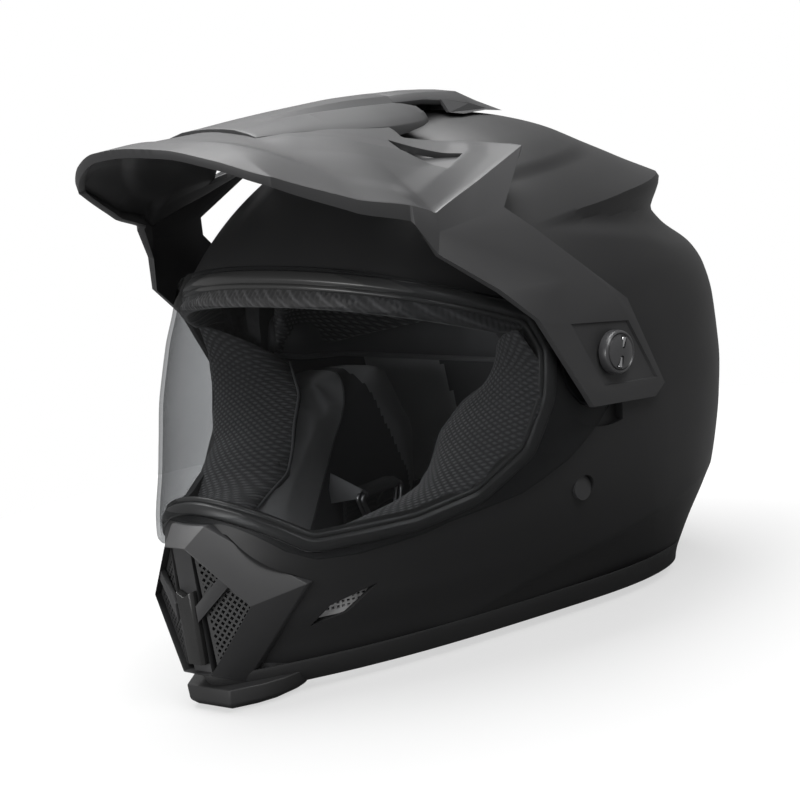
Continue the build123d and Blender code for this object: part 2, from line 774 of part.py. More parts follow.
mouth_room = front_prism(mouth_outline, -vent_depth - overrun, -vent_back + overrun)
with BuildPart() as chin_vent_housing:
    add(facet_solid(corners, facets))
    add(mouth_room, mode=Mode.SUBTRACT)
    post = [
        (-post_half_width, rim_top_shares[2] * vent_height - running_gap),
        (post_half_width, rim_top_shares[2] * vent_height - running_gap),
        (post_half_width, rim_low_shares[2] * vent_height + running_gap),
        (-post_half_width, rim_low_shares[2] * vent_height + running_gap),
    ]
    post_face = post_front - slider_depth / 4
    add(front_prism(post, -post_face, -post_face + post_depth).intersect(facet_solid(corners, facets)))
    for _, side in sides:
        rib_plane = mouth_plane(side, rib_front + rib_depth)
        rib = [(side * x * vent_half_width, z * vent_height) for x, z in rib_shares]
        with BuildSketch(rib_plane):
            with BuildLine():
                Polyline(*flat_places(rib_plane, rib), close=True)
            make_face()
        extrude(amount=rib_depth)
    add(vent_room.part, mode=Mode.SUBTRACT)
    add(trim_room.part, mode=Mode.SUBTRACT)
keep(chin_vent_housing.part, "chin_vent_housing")

for name, side in sides:
    mesh_plane = mouth_plane(side, mesh_recess + mesh_thickness)
    half_mouth = [(side * x, z) for x, z in mouth_right_way]
    with BuildPart() as chin_vent_mesh:
        with BuildSketch(mesh_plane):
            with BuildLine():
                Polyline(*flat_places(mesh_plane, half_mouth), close=True)
            make_face()
            offset(amount=-mesh_border, kind=Kind.INTERSECTION, mode=Mode.REPLACE)
        extrude(amount=mesh_thickness)
        panel = chin_vent_mesh.faces().sort_by(Axis((0, 0, 0), mesh_plane.z_dir))[-1]
        middle = mesh_plane.to_local_coords(panel.center())
        across = int(vent_half_width / mesh_pitch)
        with BuildSketch(mesh_plane):
            with BuildLine():
                Polyline(*flat_places(mesh_plane, half_mouth), close=True)
            make_face()
            offset(amount=-mesh_border - mesh_hole, kind=Kind.INTERSECTION, mode=Mode.REPLACE)
            with Locations((middle.X, middle.Y)):
                with GridLocations(mesh_pitch, mesh_pitch, across, 2 * across):
                    Rectangle(mesh_hole, mesh_hole, mode=Mode.INTERSECT)
        extrude(amount=mesh_thickness, mode=Mode.SUBTRACT)
        add(vent_room.part, mode=Mode.SUBTRACT)
    keep(chin_vent_mesh.part, f"chin_vent_mesh_{name}")

with BuildPart() as chin_vent_slider:
    slider_back = post_face + running_gap
    bar = [
        (-slider_half_width, slider_low),
        (slider_half_width, slider_low),
        (slider_half_width, slider_top),
        (0, slider_top - slider_half_width / 2),
        (-slider_half_width, slider_top),
    ]
    add(front_prism(bar, -slider_back - slider_depth, -slider_back))
    chamfer(chin_vent_slider.faces().sort_by(Axis.Y)[0].edges().filter_by(Axis.Z), slider_chamfer)
keep(chin_vent_slider.part, "chin_vent_slider")

# Side vent meshes behind their slots

for name, side in sides:
    panel_back = side_vent_sink + mesh_thickness
    with BuildPart() as side_vent_mesh:
        add(vent_block(side, side_vent_sink, panel_back, 0))
        with BuildSketch(vent_plane(side, panel_back)):
            columns = int(side_mesh_length / mesh_pitch) - 1
            rows = int(side_mesh_height / mesh_pitch) - 1
            with GridLocations(mesh_pitch, mesh_pitch, columns, rows):
                Rectangle(mesh_hole, mesh_hole)
        extrude(amount=mesh_thickness, mode=Mode.SUBTRACT)
    keep(side_vent_mesh.part, f"side_vent_mesh_{name}")

# Chin undertray

with BuildPart() as chin_undertray:
    tray = [
        (-tray_nose, -tray_front),
        (tray_nose, -tray_front),
        (tray_half_width, -tray_back),
        (-tray_half_width, -tray_back),
    ]
    add(plan_prism(tray, 0, tray_top))
    add(trim_room.part, mode=Mode.SUBTRACT)
keep(chin_undertray.part, "chin_undertray")

# Chin strap with its rivets, anchors and rings


def strap_profile(route, side):
    """One strap as webbing of even thickness along its route."""
    low = rivet_y - strap_width / 2
    with BuildPart() as strap:
        with BuildSketch(Plane.XZ.offset(-low)):
            with BuildLine() as path:
                FilletPolyline(*[(side * x, z) for x, z in route], radius=strap_bend)
            trace(line_width=strap_thickness)
        extrude(amount=-strap_width)
    return strap.part


loop_x = right_strap[-1][0] - loop_length / 2 + loop_join
loop_z = right_strap[-1][1]
for name, side in sides:
    route = left_strap if side > 0 else right_strap
    with BuildPart() as chin_strap:
        add(strap_profile(route, side))
        if side < 0:
            with BuildSketch(Plane.XZ.offset(-(rivet_y - strap_width / 2))):
                with Locations((side * loop_x, loop_z)):
                    SlotOverall(loop_length, loop_height)
                    SlotOverall(loop_slot, loop_bore, mode=Mode.SUBTRACT)
            extrude(amount=-strap_width)
        add(rivet_disc(side, rivet_radius + fit_gap, 0, wide), mode=Mode.SUBTRACT)
    keep(chin_strap.part, f"chin_strap_{name}")
    with BuildPart() as strap_anchor:
        with BuildSketch(Plane.YZ.offset(side * strap_face)):
            with Locations((rivet_y, rivet_z)):
                RectangleRounded(anchor_size, anchor_size, rivet_radius)
                Circle(rivet_radius + fit_gap, mode=Mode.SUBTRACT)
        extrude(amount=side * anchor_thickness)
    keep(strap_anchor.part, f"strap_anchor_{name}")
    tail_end = left_strap[0][0] - strap_thickness / 2 - fit_gap
    with BuildPart() as strap_rivet:
        add(rivet_disc(side, rivet_radius, tail_end, rivet_seat + rivet_head_depth))
        add(rivet_disc(side, rivet_head, rivet_seat + fit_gap, rivet_seat + fit_gap + rivet_head_depth))
        add(rivet_disc(side, rivet_tail, tail_end - rivet_tail_depth, tail_end))
    keep(strap_rivet.part, f"strap_rivet_{name}")

ring_half = strap_width / 2 + ring_wire + ring_side
for name, shift in (("inner", -ring_apart / 2), ("outer", ring_apart / 2)):
    ring_x = -(loop_x + shift)
    with BuildPart() as d_ring:
        with BuildLine(Plane.YZ.offset(ring_x)) as wire_path:
            ring_corners = [
                (rivet_y + ring_half, loop_z),
                (rivet_y + ring_half * ring_end_share, loop_z - ring_drop),
                (rivet_y - ring_half * ring_end_share, loop_z - ring_drop),
                (rivet_y - ring_half, loop_z),
            ]
            FilletPolyline(*ring_corners, radius=ring_bend, close=True)
        wire = wire_path.wires()[0]
        with BuildSketch(Plane(origin=wire @ 0, z_dir=wire % 0)):
            Circle(ring_wire)
        sweep(path=wire)
    keep(d_ring.part, f"d_ring_{name}")
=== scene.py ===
import json
import math

import bmesh
import bpy
import numpy as np
from mathutils import Matrix, Vector
from mathutils.bvhtree import BVHTree

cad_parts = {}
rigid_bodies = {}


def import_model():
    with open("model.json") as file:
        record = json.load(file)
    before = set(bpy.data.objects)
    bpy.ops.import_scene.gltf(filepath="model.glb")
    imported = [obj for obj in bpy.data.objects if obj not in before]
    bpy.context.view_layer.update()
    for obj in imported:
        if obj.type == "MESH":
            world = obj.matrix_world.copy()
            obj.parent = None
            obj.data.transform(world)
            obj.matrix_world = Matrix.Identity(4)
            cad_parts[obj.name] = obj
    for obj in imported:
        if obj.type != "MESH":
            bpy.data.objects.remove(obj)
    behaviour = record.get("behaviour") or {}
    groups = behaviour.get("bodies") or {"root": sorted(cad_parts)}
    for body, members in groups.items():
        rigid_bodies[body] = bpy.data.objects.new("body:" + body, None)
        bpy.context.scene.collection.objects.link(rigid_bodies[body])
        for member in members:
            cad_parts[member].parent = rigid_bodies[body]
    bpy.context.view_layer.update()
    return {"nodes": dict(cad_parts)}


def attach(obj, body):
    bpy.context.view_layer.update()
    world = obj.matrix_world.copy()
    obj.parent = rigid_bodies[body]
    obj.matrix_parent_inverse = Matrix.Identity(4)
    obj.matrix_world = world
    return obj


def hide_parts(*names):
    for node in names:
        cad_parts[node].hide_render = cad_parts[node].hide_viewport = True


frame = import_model()
nodes = frame["nodes"]
MM = 0.001
SIDES = (("left", 1), ("right", -1))

# Head form, as in the source: at each level the shares of the front, rear and side reach
# and of the middle, and the powers of the front and the rear curve
BASE, TALL, FRONT, REAR, HALF = 5.0, 250.5, 162.0, 169.0, 127.0
LEVELS = np.array([
    (0.00, 0.901, 0.722, 0.717, 0.391, 1.45, 2.10),
    (0.08, 0.963, 0.793, 0.795, 0.349, 1.45, 2.15),
    (0.16, 1.000, 0.870, 0.866, 0.308, 1.50, 2.20),
    (0.24, 1.000, 0.923, 0.921, 0.272, 1.60, 2.20),
    (0.32, 0.944, 0.964, 0.961, 0.237, 1.70, 2.20),
    (0.42, 0.877, 0.994, 0.992, 0.201, 1.80, 2.20),
    (0.52, 0.778, 1.000, 1.000, 0.178, 1.95, 2.20),
    (0.62, 0.673, 0.970, 0.976, 0.166, 2.05, 2.20),
    (0.72, 0.556, 0.911, 0.906, 0.166, 2.15, 2.10),
    (0.82, 0.414, 0.793, 0.772, 0.178, 2.10, 2.10),
    (0.90, 0.235, 0.639, 0.598, 0.189, 2.00, 2.00),
    (0.95, 0.049, 0.473, 0.378, 0.201, 2.00, 2.00),
    (0.975, -0.086, 0.343, 0.173, 0.207, 2.00, 2.00),
    (0.985, -0.160, 0.272, 0.071, 0.213, 2.00, 2.00),
])


def slopes(xs, ys):
    """Slopes of a smooth curve through points that adds no waves between them."""
    h = np.diff(xs)
    d = np.diff(ys) / h
    m = np.concatenate([[d[0]], np.zeros(len(xs) - 2), [d[-1]]])
    for i in range(1, len(xs) - 1):
        if d[i - 1] * d[i] > 0:
            a, b = 2 * h[i] + h[i - 1], h[i] + 2 * h[i - 1]
            m[i] = (a + b) / (a / d[i - 1] + b / d[i])
    return m


def smooth_at(xs, ys, x):
    """Value at x of the smooth curve through (xs, ys)."""
    xs, ys, x = np.asarray(xs, float), np.asarray(ys, float), np.asarray(x, float)
    m = slopes(xs, ys)
    x = np.clip(x, xs[0], xs[-1])
    i = np.clip(np.searchsorted(xs, x) - 1, 0, len(xs) - 2)
    h = xs[i + 1] - xs[i]
    t = (x - xs[i]) / h
    return (
        (1 + 2 * t) * (1 - t) ** 2 * ys[i]
        + t * (1 - t) ** 2 * h * m[i]
        + t * t * (3 - 2 * t) * ys[i + 1]
        + t * t * (t - 1) * h * m[i + 1]
    )


def step(a, b, x):
    """Smooth step from 0 at a to 1 at b."""
    t = np.clip((np.asarray(x, float) - a) / (b - a), 0, 1)
    return t * t * (3 - 2 * t)


def levels_at(share):
    """The six values of the head form's levels at shares of its height."""
    return (smooth_at(LEVELS[:, 0], LEVELS[:, k], share) for k in range(1, 7))


def form_point(angle, share, inset=0.0, reaches=(FRONT, REAR, HALF, TALL)):
    """Points of the head form, drawn in by an inset, at plan angles and level shares."""
    front, rear, half, tall = (reach - inset for reach in reaches)
    f, r, w, mid, nf, nr = levels_at(share)
    c, s = np.cos(angle), np.sin(angle)
    power = np.where(s < 0, nf, nr)
    middle = mid * REAR
    reach = np.where(s < 0, middle + f * front, r * rear - middle)
    x = w * half * np.sign(c) * np.abs(c) ** (2 / power)
    y = middle + reach * np.sign(s) * np.abs(s) ** (2 / power)
    return np.stack(np.broadcast_arrays(x, y, BASE + share * tall), -1)


def level_at(y, z, inset=0.0):
    """Half width and power of the level at a place in the side view, and the place's share of the curve."""
    f, r, w, mid, nf, nr = levels_at((z - BASE) / (TALL - inset))
    middle = mid * REAR
    ahead = y < middle
    reach = np.where(ahead, middle + f * (FRONT - inset), r * (REAR - inset) - middle)
    power = np.where(ahead, nf, nr)
    return w * (HALF - inset), power, np.abs((y - middle) / reach) ** power


def form_x(y, z, inset=0.0):
    """Half width of the head form at places in the side view, or 0 outside it."""
    half, power, share = level_at(y, z, inset)
    return np.where(share < 1, half * np.clip(1 - share, 0, 1) ** (1 / power), 0.0)


def level_value(points):
    """Less than 1 at points inside the head form, more outside."""
    half, power, share = level_at(points[..., 1], points[..., 2])
    return (np.abs(points[..., 0]) / half) ** power + share


def form_normals(points):
    """Outward normals of the head form near points on it."""
    rises = [level_value(points + d) - level_value(points - d) for d in 0.5 * np.eye(3)]
    return unit(np.stack(rises, -1))


def side_places(shares):
    """Places in the side view from shares of the front reach and of the height."""
    return [(y * FRONT, BASE + z * TALL) for y, z in shares]


# Mesh helpers; lengths in the script are millimetres


def link(obj):
    """Put an object in the scene."""
    bpy.context.scene.collection.objects.link(obj)
    return obj


def new_object(name, verts, faces):
    """Object with a mesh of places in millimetres."""
    mesh = bpy.data.meshes.new(name)
    places = [tuple(float(c) * MM for c in v) for v in verts]
    mesh.from_pydata(places, [], [tuple(int(i) for i in f) for f in faces])
    return link(bpy.data.objects.new(name, mesh))


def copy_of(node_name, name):
    """Copy of a CAD node as an object of its own."""
    return link(bpy.data.objects.new(name, nodes[node_name].data.copy()))


def edit(obj, change):
    """Change the mesh of an object with a function of its bmesh."""
    bm = bmesh.new()
    bm.from_mesh(obj.data)
    change(bm)
    bm.to_mesh(obj.data)
    bm.free()
    return obj


def fix_normals(obj):
    """Turn all faces outward."""
    return edit(obj, lambda bm: bmesh.ops.recalc_face_normals(bm, faces=bm.faces))


def loose(name, verts, faces):
    """A mesh object for cutting or for more work before it is a piece."""
    return fix_normals(new_object(name, verts, faces))


def settle(obj, body, mat, replaced=(), smooth=True):
    """Give an object its shading, material and body, and hide the nodes it replaces."""
    obj.data.materials.clear()
    obj.data.materials.append(mat)
    obj.data.polygons.foreach_set("use_smooth", [smooth] * len(obj.data.polygons))
    fix_normals(obj)
    if body:
        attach(obj, body)
    if replaced:
        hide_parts(*replaced)
    return obj


def piece(name, verts, faces, body, slot, mat, replaced=(), smooth=True):
    """A mesh object that rides on a body."""
    obj = new_object(name, verts, faces)
    obj.data.validate()
    return settle(obj, body, mat, replaced, smooth)


def bake_modifiers(obj):
    """Apply the modifiers of an object to its mesh."""
    bpy.context.view_layer.update()
    shaped = obj.evaluated_get(bpy.context.evaluated_depsgraph_get())
    mesh = bpy.data.meshes.new_from_object(shaped)
    obj.modifiers.clear()
    old = obj.data
    obj.data = mesh
    bpy.data.meshes.remove(old)
    return obj


def boolean(obj, cutter, how="DIFFERENCE"):
    """Cut, join or keep by another object, which is removed."""
    cut = obj.modifiers.new("cut", "BOOLEAN")
    cut.operation = how
    cut.solver = "EXACT"
    cut.object = cutter
    bake_modifiers(obj)
    old = cutter.data
    bpy.data.objects.remove(cutter)
    bpy.data.meshes.remove(old)
    return obj


def bevel(obj, width, angle, sharp=None, segments=2):
    """Round an object's edges over an angle, then keep those over a second angle sharp."""
    mod = obj.modifiers.new("bevel", "BEVEL")
    mod.width = width * MM
    mod.segments = segments
    mod.limit_method = "ANGLE"
    mod.angle_limit = math.radians(angle)
    bake_modifiers(obj)
    return sharp_by_angle(obj, sharp) if sharp else obj


def sharp_by_angle(obj, angle):
    """Smooth shading that keeps edges over an angle sharp."""
    limit = math.radians(angle)

    def mark(bm):
        for edge in bm.edges:
            edge.smooth = not (len(edge.link_faces) == 2 and edge.calc_face_angle(0) > limit)

    return edit(obj, mark)


def grid_faces(rows, cols, closed=False, start=0, looped=False):
    """Quads of a grid of rows by cols, closed round the columns or looped over the rows or not."""
    faces = []
    for i in range(rows if looped else rows - 1):
        a, b = start + i * cols, start + (i + 1) % rows * cols
        for j in range(cols if closed else cols - 1):
            k = (j + 1) % cols
            faces.append((a + j, a + k, b + k, b + j))
    return faces


def capped(rings):
    """Closed mesh from rows of closed rings, capped at both ends."""
    rings = np.asarray(rings)
    m, n = rings.shape[:2]
    ends = [tuple(range(n)), tuple(range((m - 1) * n, m * n))]
    return rings.reshape(-1, 3), grid_faces(m, n, True) + ends


def slab(near, far):
    """Closed mesh between two outlines of as many places."""
    n = len(near)
    faces = [(i, (i + 1) % n, n + (i + 1) % n, n + i) for i in range(n)]
    return list(near) + list(far), faces + [tuple(range(n)), tuple(range(n, 2 * n))]


def two_sided(front, back, rows, cols):
    """Closed mesh of two grids of points, joined along their borders."""
    n = rows * cols
    border = list(range(cols)) + [i * cols + cols - 1 for i in range(1, rows)]
    border += [(rows - 1) * cols + j for j in range(cols - 2, -1, -1)]
    border += [i * cols for i in range(rows - 2, 0, -1)]
    faces = grid_faces(rows, cols) + grid_faces(rows, cols, start=n)
    faces += [(a, b, n + b, n + a) for a, b in zip(border, border[1:] + border[:1])]
    return np.concatenate([front, back]), faces


def prism(places, axis, near, far):
    """Closed prism of an outline of places across one axis, from near to far."""
    places = np.array(places, float)
    return slab(*(np.insert(places, axis, depth, axis=1) for depth in (near, far)))


def disc_places(middle, radius, count=64):
    """Circle of places about a middle."""
    turn = 2 * math.pi * np.arange(count) / count
    return np.stack([middle[0] + radius * np.cos(turn), middle[1] + radius * np.sin(turn)], -1)


def both_sides(half):
    """Outline of a half and its mirror image across the middle plane."""
    return list(half) + [(-p[0], *p[1:]) for p in reversed(half)]


def rounded(places, radius, count=8, closed=True):
    """Outline or open line with its corners rounded."""
    out = []
    n = len(places)
    for i in range(n):
        if not closed and i in (0, n - 1):
            out.append(tuple(places[i]))
            continue
        a, b, c = (Vector(places[(i + k) % n]) for k in (-1, 0, 1))
        into, away = (a - b), (c - b)
        turn = into.angle(away)
        if turn > math.radians(177):
            out.append(tuple(b))
            continue
        reach = min(radius / math.tan(turn / 2), into.length * 0.48, away.length * 0.48)
        p, q = b + into.normalized() * reach, b + away.normalized() * reach
        for k in range(count + 1):
            t = k / count
            out.append(tuple((1 - t) ** 2 * p + 2 * t * (1 - t) * b + t * t * q))
    return out


def resample(points, count, closed=False):
    """Points evenly spaced along a line."""
    points = np.asarray(points, float)
    if closed:
        points = np.vstack([points, points[:1]])
    length = np.concatenate([[0], np.cumsum(np.linalg.norm(np.diff(points, axis=0), axis=1))])
    at = np.linspace(0, length[-1], count, endpoint=not closed)
    return np.stack([np.interp(at, length, points[:, k]) for k in range(points.shape[1])], -1)


def blur_line(points, passes, closed=False):
    """Line with its points averaged with their neighbours."""
    points = np.asarray(points, float).copy()
    for _ in range(passes):
        if closed:
            points = 0.25 * np.roll(points, 1, 0) + 0.5 * points + 0.25 * np.roll(points, -1, 0)
        else:
            points[1:-1] = 0.25 * points[:-2] + 0.5 * points[1:-1] + 0.25 * points[2:]
    return points


def unit(v):
    """Vectors scaled to length one."""
    return v / np.maximum(np.linalg.norm(v, axis=-1, keepdims=True), 1e-9)


def swept(line, normals, profile, closed=True):
    """Closed profile of (across, out) carried along a line with its surface normals."""
    line = np.asarray(line, float)
    if closed:
        along = unit(np.roll(line, -1, 0) - np.roll(line, 1, 0))
    else:
        along = unit(np.gradient(line, axis=0))
    out = unit(normals - (normals * along).sum(-1, keepdims=True) * along)
    across = np.cross(out, along)
    rings = np.stack([line + a * across + o * out for a, o in profile], 1)
    if not closed:
        return capped(rings)
    return rings.reshape(-1, 3), grid_faces(*rings.shape[:2], True, looped=True)


# Materials


def feed(tree, made, values=(), feeds=()):
    """Set a node's input values and link the outputs that feed its inputs."""
    for key, value in dict(values).items():
        made.inputs[key].default_value = value
    for key, source in dict(feeds).items():
        tree.links.new(source, made.inputs[key])


def node(tree, kind, values=(), feeds=(), **settings):
    """New shader node with its settings, values and feeds."""
    made = tree.nodes.new("ShaderNode" + kind)
    for key, value in settings.items():
        setattr(made, key, value)
    feed(tree, made, values, feeds)
    return made


def new_material(name):
    """Material with its node tree and shader."""
    mat = bpy.data.materials.new(name)
    mat.use_nodes = True
    return mat, mat.node_tree, mat.node_tree.nodes["Principled BSDF"]


def material(name, color, rough, bump, scale, mottle, specular=0.5, sheen=0.0, metal=0.0, kind="noise"):
    """Procedural material: fine grain, soft colour change and bump."""
    mat, tree, shader = new_material(name)
    feed(tree, shader, {"Specular IOR Level": specular, "Metallic": metal})
    if sheen:
        feed(tree, shader, {"Sheen Weight": sheen, "Sheen Roughness": 0.5})
    place = node(tree, "TexCoord").outputs["Object"]
    cloud = node(tree, "TexNoise", {"Scale": 14.0, "Detail": 5.0}, {"Vector": place}).outputs["Fac"]

    def spread(low, high):
        values = {"From Min": 0.3, "From Max": 0.7, "To Min": low, "To Max": high}
        return node(tree, "MapRange", values, {"Value": cloud}).outputs["Result"]

    feeds = {"Scale": spread(1 - mottle, 1 + mottle)}
    tint = node(tree, "VectorMath", {0: color}, feeds, operation="SCALE").outputs["Vector"]
    height = pattern(tree, place, kind, scale)
    # Painted shade: for the knit, rib, weave and bead patterns the colour is darker in the low places of the
    # height and lighter on the high places.
    if kind != "noise":
        shade = node(tree, "MapRange", {"To Min": 0.35, "To Max": 1.25}, {"Value": height}).outputs["Result"]
        tint = node(tree, "VectorMath", (), {0: tint, "Scale": shade}, operation="SCALE").outputs["Vector"]
    gloss = spread(max(0.03, rough - 0.04), min(1.0, rough + 0.04))
    rise = node(tree, "Bump", {"Strength": 1.0, "Distance": bump * MM}, {"Height": height})
    feed(tree, shader, (), {"Base Color": tint, "Roughness": gloss, "Normal": rise.outputs["Normal"]})
    return mat


TURNS = {
    "knit": ((0.25, 0.5, 0.8), (-0.4, 0.9, -0.8)),
    "weave": ((0.0, 0.0, 0.0), (0.0, 0.0, 1.5708)),
    "ribs": ((0.0, 0.35, 0.6), (0.3, 0.2, 0.9)),
}


def pattern(tree, place, kind, scale):
    """Height of a surface: moulded grain, beads, or two bands of knit, ribs or weave."""
    if kind == "noise":
        return node(tree, "TexNoise", {"Scale": scale, "Detail": 2.0}, {"Vector": place}).outputs["Fac"]
    if kind == "beads":
        return node(tree, "TexVoronoi", {"Scale": scale}, {"Vector": place}).outputs["Distance"]
    woven = kind == "weave"
    bands = {}
    for k, stretch in enumerate((1.0, 0.55 if kind == "ribs" else 1.0)):
        spin = node(tree, "Mapping", {"Rotation": TURNS[kind][k]}, {"Vector": place})
        values = {"Scale": scale * stretch, "Distortion": 0.0 if woven else 0.6}
        direction = "X" if woven else "DIAGONAL"
        feeds = {"Vector": spin.outputs["Vector"]}
        wave = node(tree, "TexWave", values, feeds, wave_type="BANDS", bands_direction=direction)
        bands[k] = wave.outputs["Fac"]
    return node(tree, "Math", (), bands, operation="ADD" if woven else "MULTIPLY").outputs["Value"]


MATTE = material("matte_shell", (0.018, 0.018, 0.0185), 0.46, 0.02, 2600, 0.05, specular=0.26)
# The peak's black is the shell's matte plastic made twice as light: painted sheen for the deck's gloss under
# the overhead light.
MATTE_PEAK_PAINTED_SHEEN = material("matte_peak", (0.036, 0.036, 0.037), 0.5, 0.02, 2600, 0.05, specular=0.3)
TRIM = material("moulded_trim", (0.026, 0.026, 0.0265), 0.48, 0.03, 1800, 0.08, specular=0.3)
VENT = material("moulded_vent", (0.032, 0.032, 0.033), 0.44, 0.02, 2200, 0.06, specular=0.34)
RUBBER = material("gasket_rubber", (0.034, 0.034, 0.034), 0.34, 0.015, 1500, 0.1, specular=0.4)
FOAM = material("beaded_foam", (0.022, 0.022, 0.023), 0.8, 0.25, 260, 0.2, kind="beads")
KNIT = material("knit_lining", (0.085, 0.085, 0.088), 0.85, 0.6, 150, 0.15, sheen=0.2, kind="knit")
RIBS = material("ribbed_lining", (0.045, 0.045, 0.047), 0.8, 0.3, 125, 0.15, sheen=0.2, kind="ribs")
SUEDE = material("brushed_lining", (0.42, 0.42, 0.425), 0.95, 0.12, 1400, 0.25, sheen=0.45)
SMOOTH_CLOTH = material("smooth_lining", (0.07, 0.07, 0.073), 0.75, 0.1, 2000, 0.12, sheen=0.25)
PIPING = material("piping", (0.24, 0.24, 0.245), 0.6, 0.15, 1500, 0.1, sheen=0.2, kind="weave")
WEBBING = material("woven_webbing", (0.05, 0.05, 0.052), 0.7, 0.35, 420, 0.12, sheen=0.15, kind="weave")
KNOB = material("satin_knob", (0.045, 0.045, 0.047), 0.32, 0.01, 1200, 0.08, specular=0.6)
KNOB_METAL = material("knob_insert", (0.62, 0.62, 0.63), 0.22, 0.01, 1400, 0.05, metal=1.0)
STEEL = material("plain_steel", (0.5, 0.5, 0.51), 0.3, 0.01, 1600, 0.06, metal=1.0)
BLACK_METAL = material("black_rivet", (0.02, 0.02, 0.021), 0.4, 0.01, 1600, 0.06, specular=0.5)
GLOSS = material("smooth_slider", (0.015, 0.015, 0.015), 0.25, 0.005, 1800, 0.05, specular=0.5)
# Pale diffuse grey in place of steel for the side vent mesh: partly its own light colour, partly painted
# light so it shows as lit inside its shaded slot.
PALE_MESH_PAINTED_LIGHT = material("pale_mesh_painted_light", (0.6, 0.6, 0.6), 0.35, 0.01, 1600, 0.06, specular=0.6)
LABEL = material("woven_label", (0.32, 0.32, 0.33), 0.8, 0.1, 1800, 0.06, sheen=0.2, kind="weave")

SHIELD_MAT, tree, _ = new_material("clear_shield")
tree.nodes.clear()
shine = node(tree, "BsdfGlossy", {"Roughness": 0.03, "Color": (0.6, 0.6, 0.6, 1)})
facing = node(tree, "LayerWeight", {"Blend": 0.5}).outputs["Facing"]
ends = {"A": (0.83, 0.835, 0.84, 1), "B": (0.58, 0.585, 0.59, 1)}
tint = node(tree, "Mix", ends, {"Factor": facing}, data_type="RGBA")
clear = node(tree, "BsdfTransparent", (), {"Color": tint.outputs["Result"]})
rise = node(tree, "Math", {1: 5.0}, {0: facing}, operation="POWER")
share = node(tree, "MapRange", {"To Min": 0.012, "To Max": 0.30}, {"Value": rise.outputs["Value"]})
feeds = {"Fac": share.outputs["Result"], 1: clear.outputs["BSDF"], 2: shine.outputs["BSDF"]}
node(tree, "OutputMaterial", (), {"Surface": node(tree, "MixShader", (), feeds).outputs["Shader"]})

# Shell with its creases

PORT = [
    (-1.235, 0.423), (-0.944, 0.367), (-0.784, 0.2655), (-0.519, 0.2675), (-0.340, 0.291),
    (-0.185, 0.359), (-0.111, 0.459), (-0.086, 0.560), (-0.120, 0.640), (-0.519, 0.774),
    (-0.679, 0.806), (-1.235, 0.918),
]
PORT_PLACES = side_places(PORT)
PIVOT = (15.0, 135.0)
SCREW = (-1, 71)


def crease_height(y):
    """Height of the sharp line that runs back from the peak's arm to the rear corner."""
    return np.interp(y, [-10, 0, 35, 72, 110, 141, 170], [198.5, 199.5, 200.7, 199.2, 196.0, 192.0, 189.0])


def cove_height(y):
    """Height of the soft line under the sharp one."""
    heights = [197, 196.5, 193.5, 189, 183.7, 176.9, 167.5, 162, 159, 158]
    return smooth_at([-30, 0, 13, 31, 51, 75, 102, 125, 150, 175], heights, y)


def crease(points):
    """How far the shell stands out from the head form at its points."""
    y, z = points[..., 1], points[..., 2]
    line, cove, upper = crease_height(y), cove_height(y), 223.0
    out = 12.5 * step(-4, 150, y) ** 1.3
    deep = 3.6 * step(-2, 70, y)
    up = (z - line) / np.maximum(upper - line, 1)
    down = (line - z) / np.maximum(line - cove, 1)
    above = out * np.clip(1 - up / 1.25, 0, 1) ** 2
    dip = 1.7 * step(-14, 10, y) * (1 - step(60, 110, y)) * np.clip(up, 0, 1) ** 1.3
    dip *= 1 - step(0.86, 1.14, up)
    below = out * (1 - step(0, 0.3, down)) - deep * step(0, 0.3, down) * (1 - step(0.3, 1.08, down))
    amount = np.where(z >= line, above - dip, below) * step(-16, 2, y)
    bulge = 6.4 * step(60, 150, y) * step(-20, 60, z) * (1 - step(150, 178, z))
    swoosh = smooth_at([-72, -34.5, -5, 29, 56, 90, 130, 170], [11.6, 24.4, 34.2, 40.1, 45.5, 50, 53, 54], y)
    fold = z - swoosh
    ridge = 1.6 * step(-80, -30, y) * np.where(fold > 0, np.exp(-fold / 26), np.exp(fold / 7))
    return amount + bulge + ridge


def around(cols):
    """Plan angles of a ring's points, from the rear middle round."""
    return math.pi / 2 + 2 * math.pi * np.arange(cols) / cols


def shell_outer(rows=170, cols=320):
    """Rings of the shell's outside, from the rim to the crown, with the sharp line on a ring."""
    low, high = 0.008, TOP_SHARE
    split = int(rows * 0.62)
    mid_y = form_point(around(cols), np.full(cols, 0.78))[:, 1]
    mid = (crease_height(mid_y) - BASE) / TALL
    rise = np.arange(rows)[:, None]
    upper = mid + (high - mid) * (np.maximum(rise - split, 0) / (rows - 1 - split)) ** 0.9
    points = form_point(around(cols), np.where(rise <= split, low + (mid - low) * (rise / split), upper))
    down = np.gradient(points, axis=0)
    normal = unit(np.cross(np.roll(points, -1, 1) - np.roll(points, 1, 1), down))
    normal *= np.sign(((points - (0, 30.0, 120.0)) * normal).sum(-1, keepdims=True))
    return points + normal * crease(points)[..., None]


def cut(obj, places, axis, near, far):
    """Cut a prism of places out of an object."""
    return boolean(obj, loose("cutter", *prism(places, axis, near, far)))


def bore(obj, middle, radius, side, near, far=150, count=64):
    """Cut a round hole along X out of an object on one side."""
    return cut(obj, disc_places(middle, radius, count), 0, side * near, side * far)


TOP_SHARE = 0.985
SHELL_THICKNESS = 3.2
POCKET_FLOOR = 120.3
shell = loose("shell_skin", *capped(shell_outer()))
shares = np.linspace(0, TOP_SHARE, 60)[:, None]
room_rings = form_point(around(128), shares, SHELL_THICKNESS)
below = room_rings[:1] * (1, 1, 0) - (0, 0, 20)
room = loose("room", *capped(np.concatenate([below, room_rings])))
for _, side in SIDES:
    bore(room, PIVOT, 39.2, side, 116.3, 140)
    bore(room, SCREW, 8.5, side, 103, 140)
boolean(shell, room)
cut(shell, rounded(PORT_PLACES, 11), 0, -200, 200)

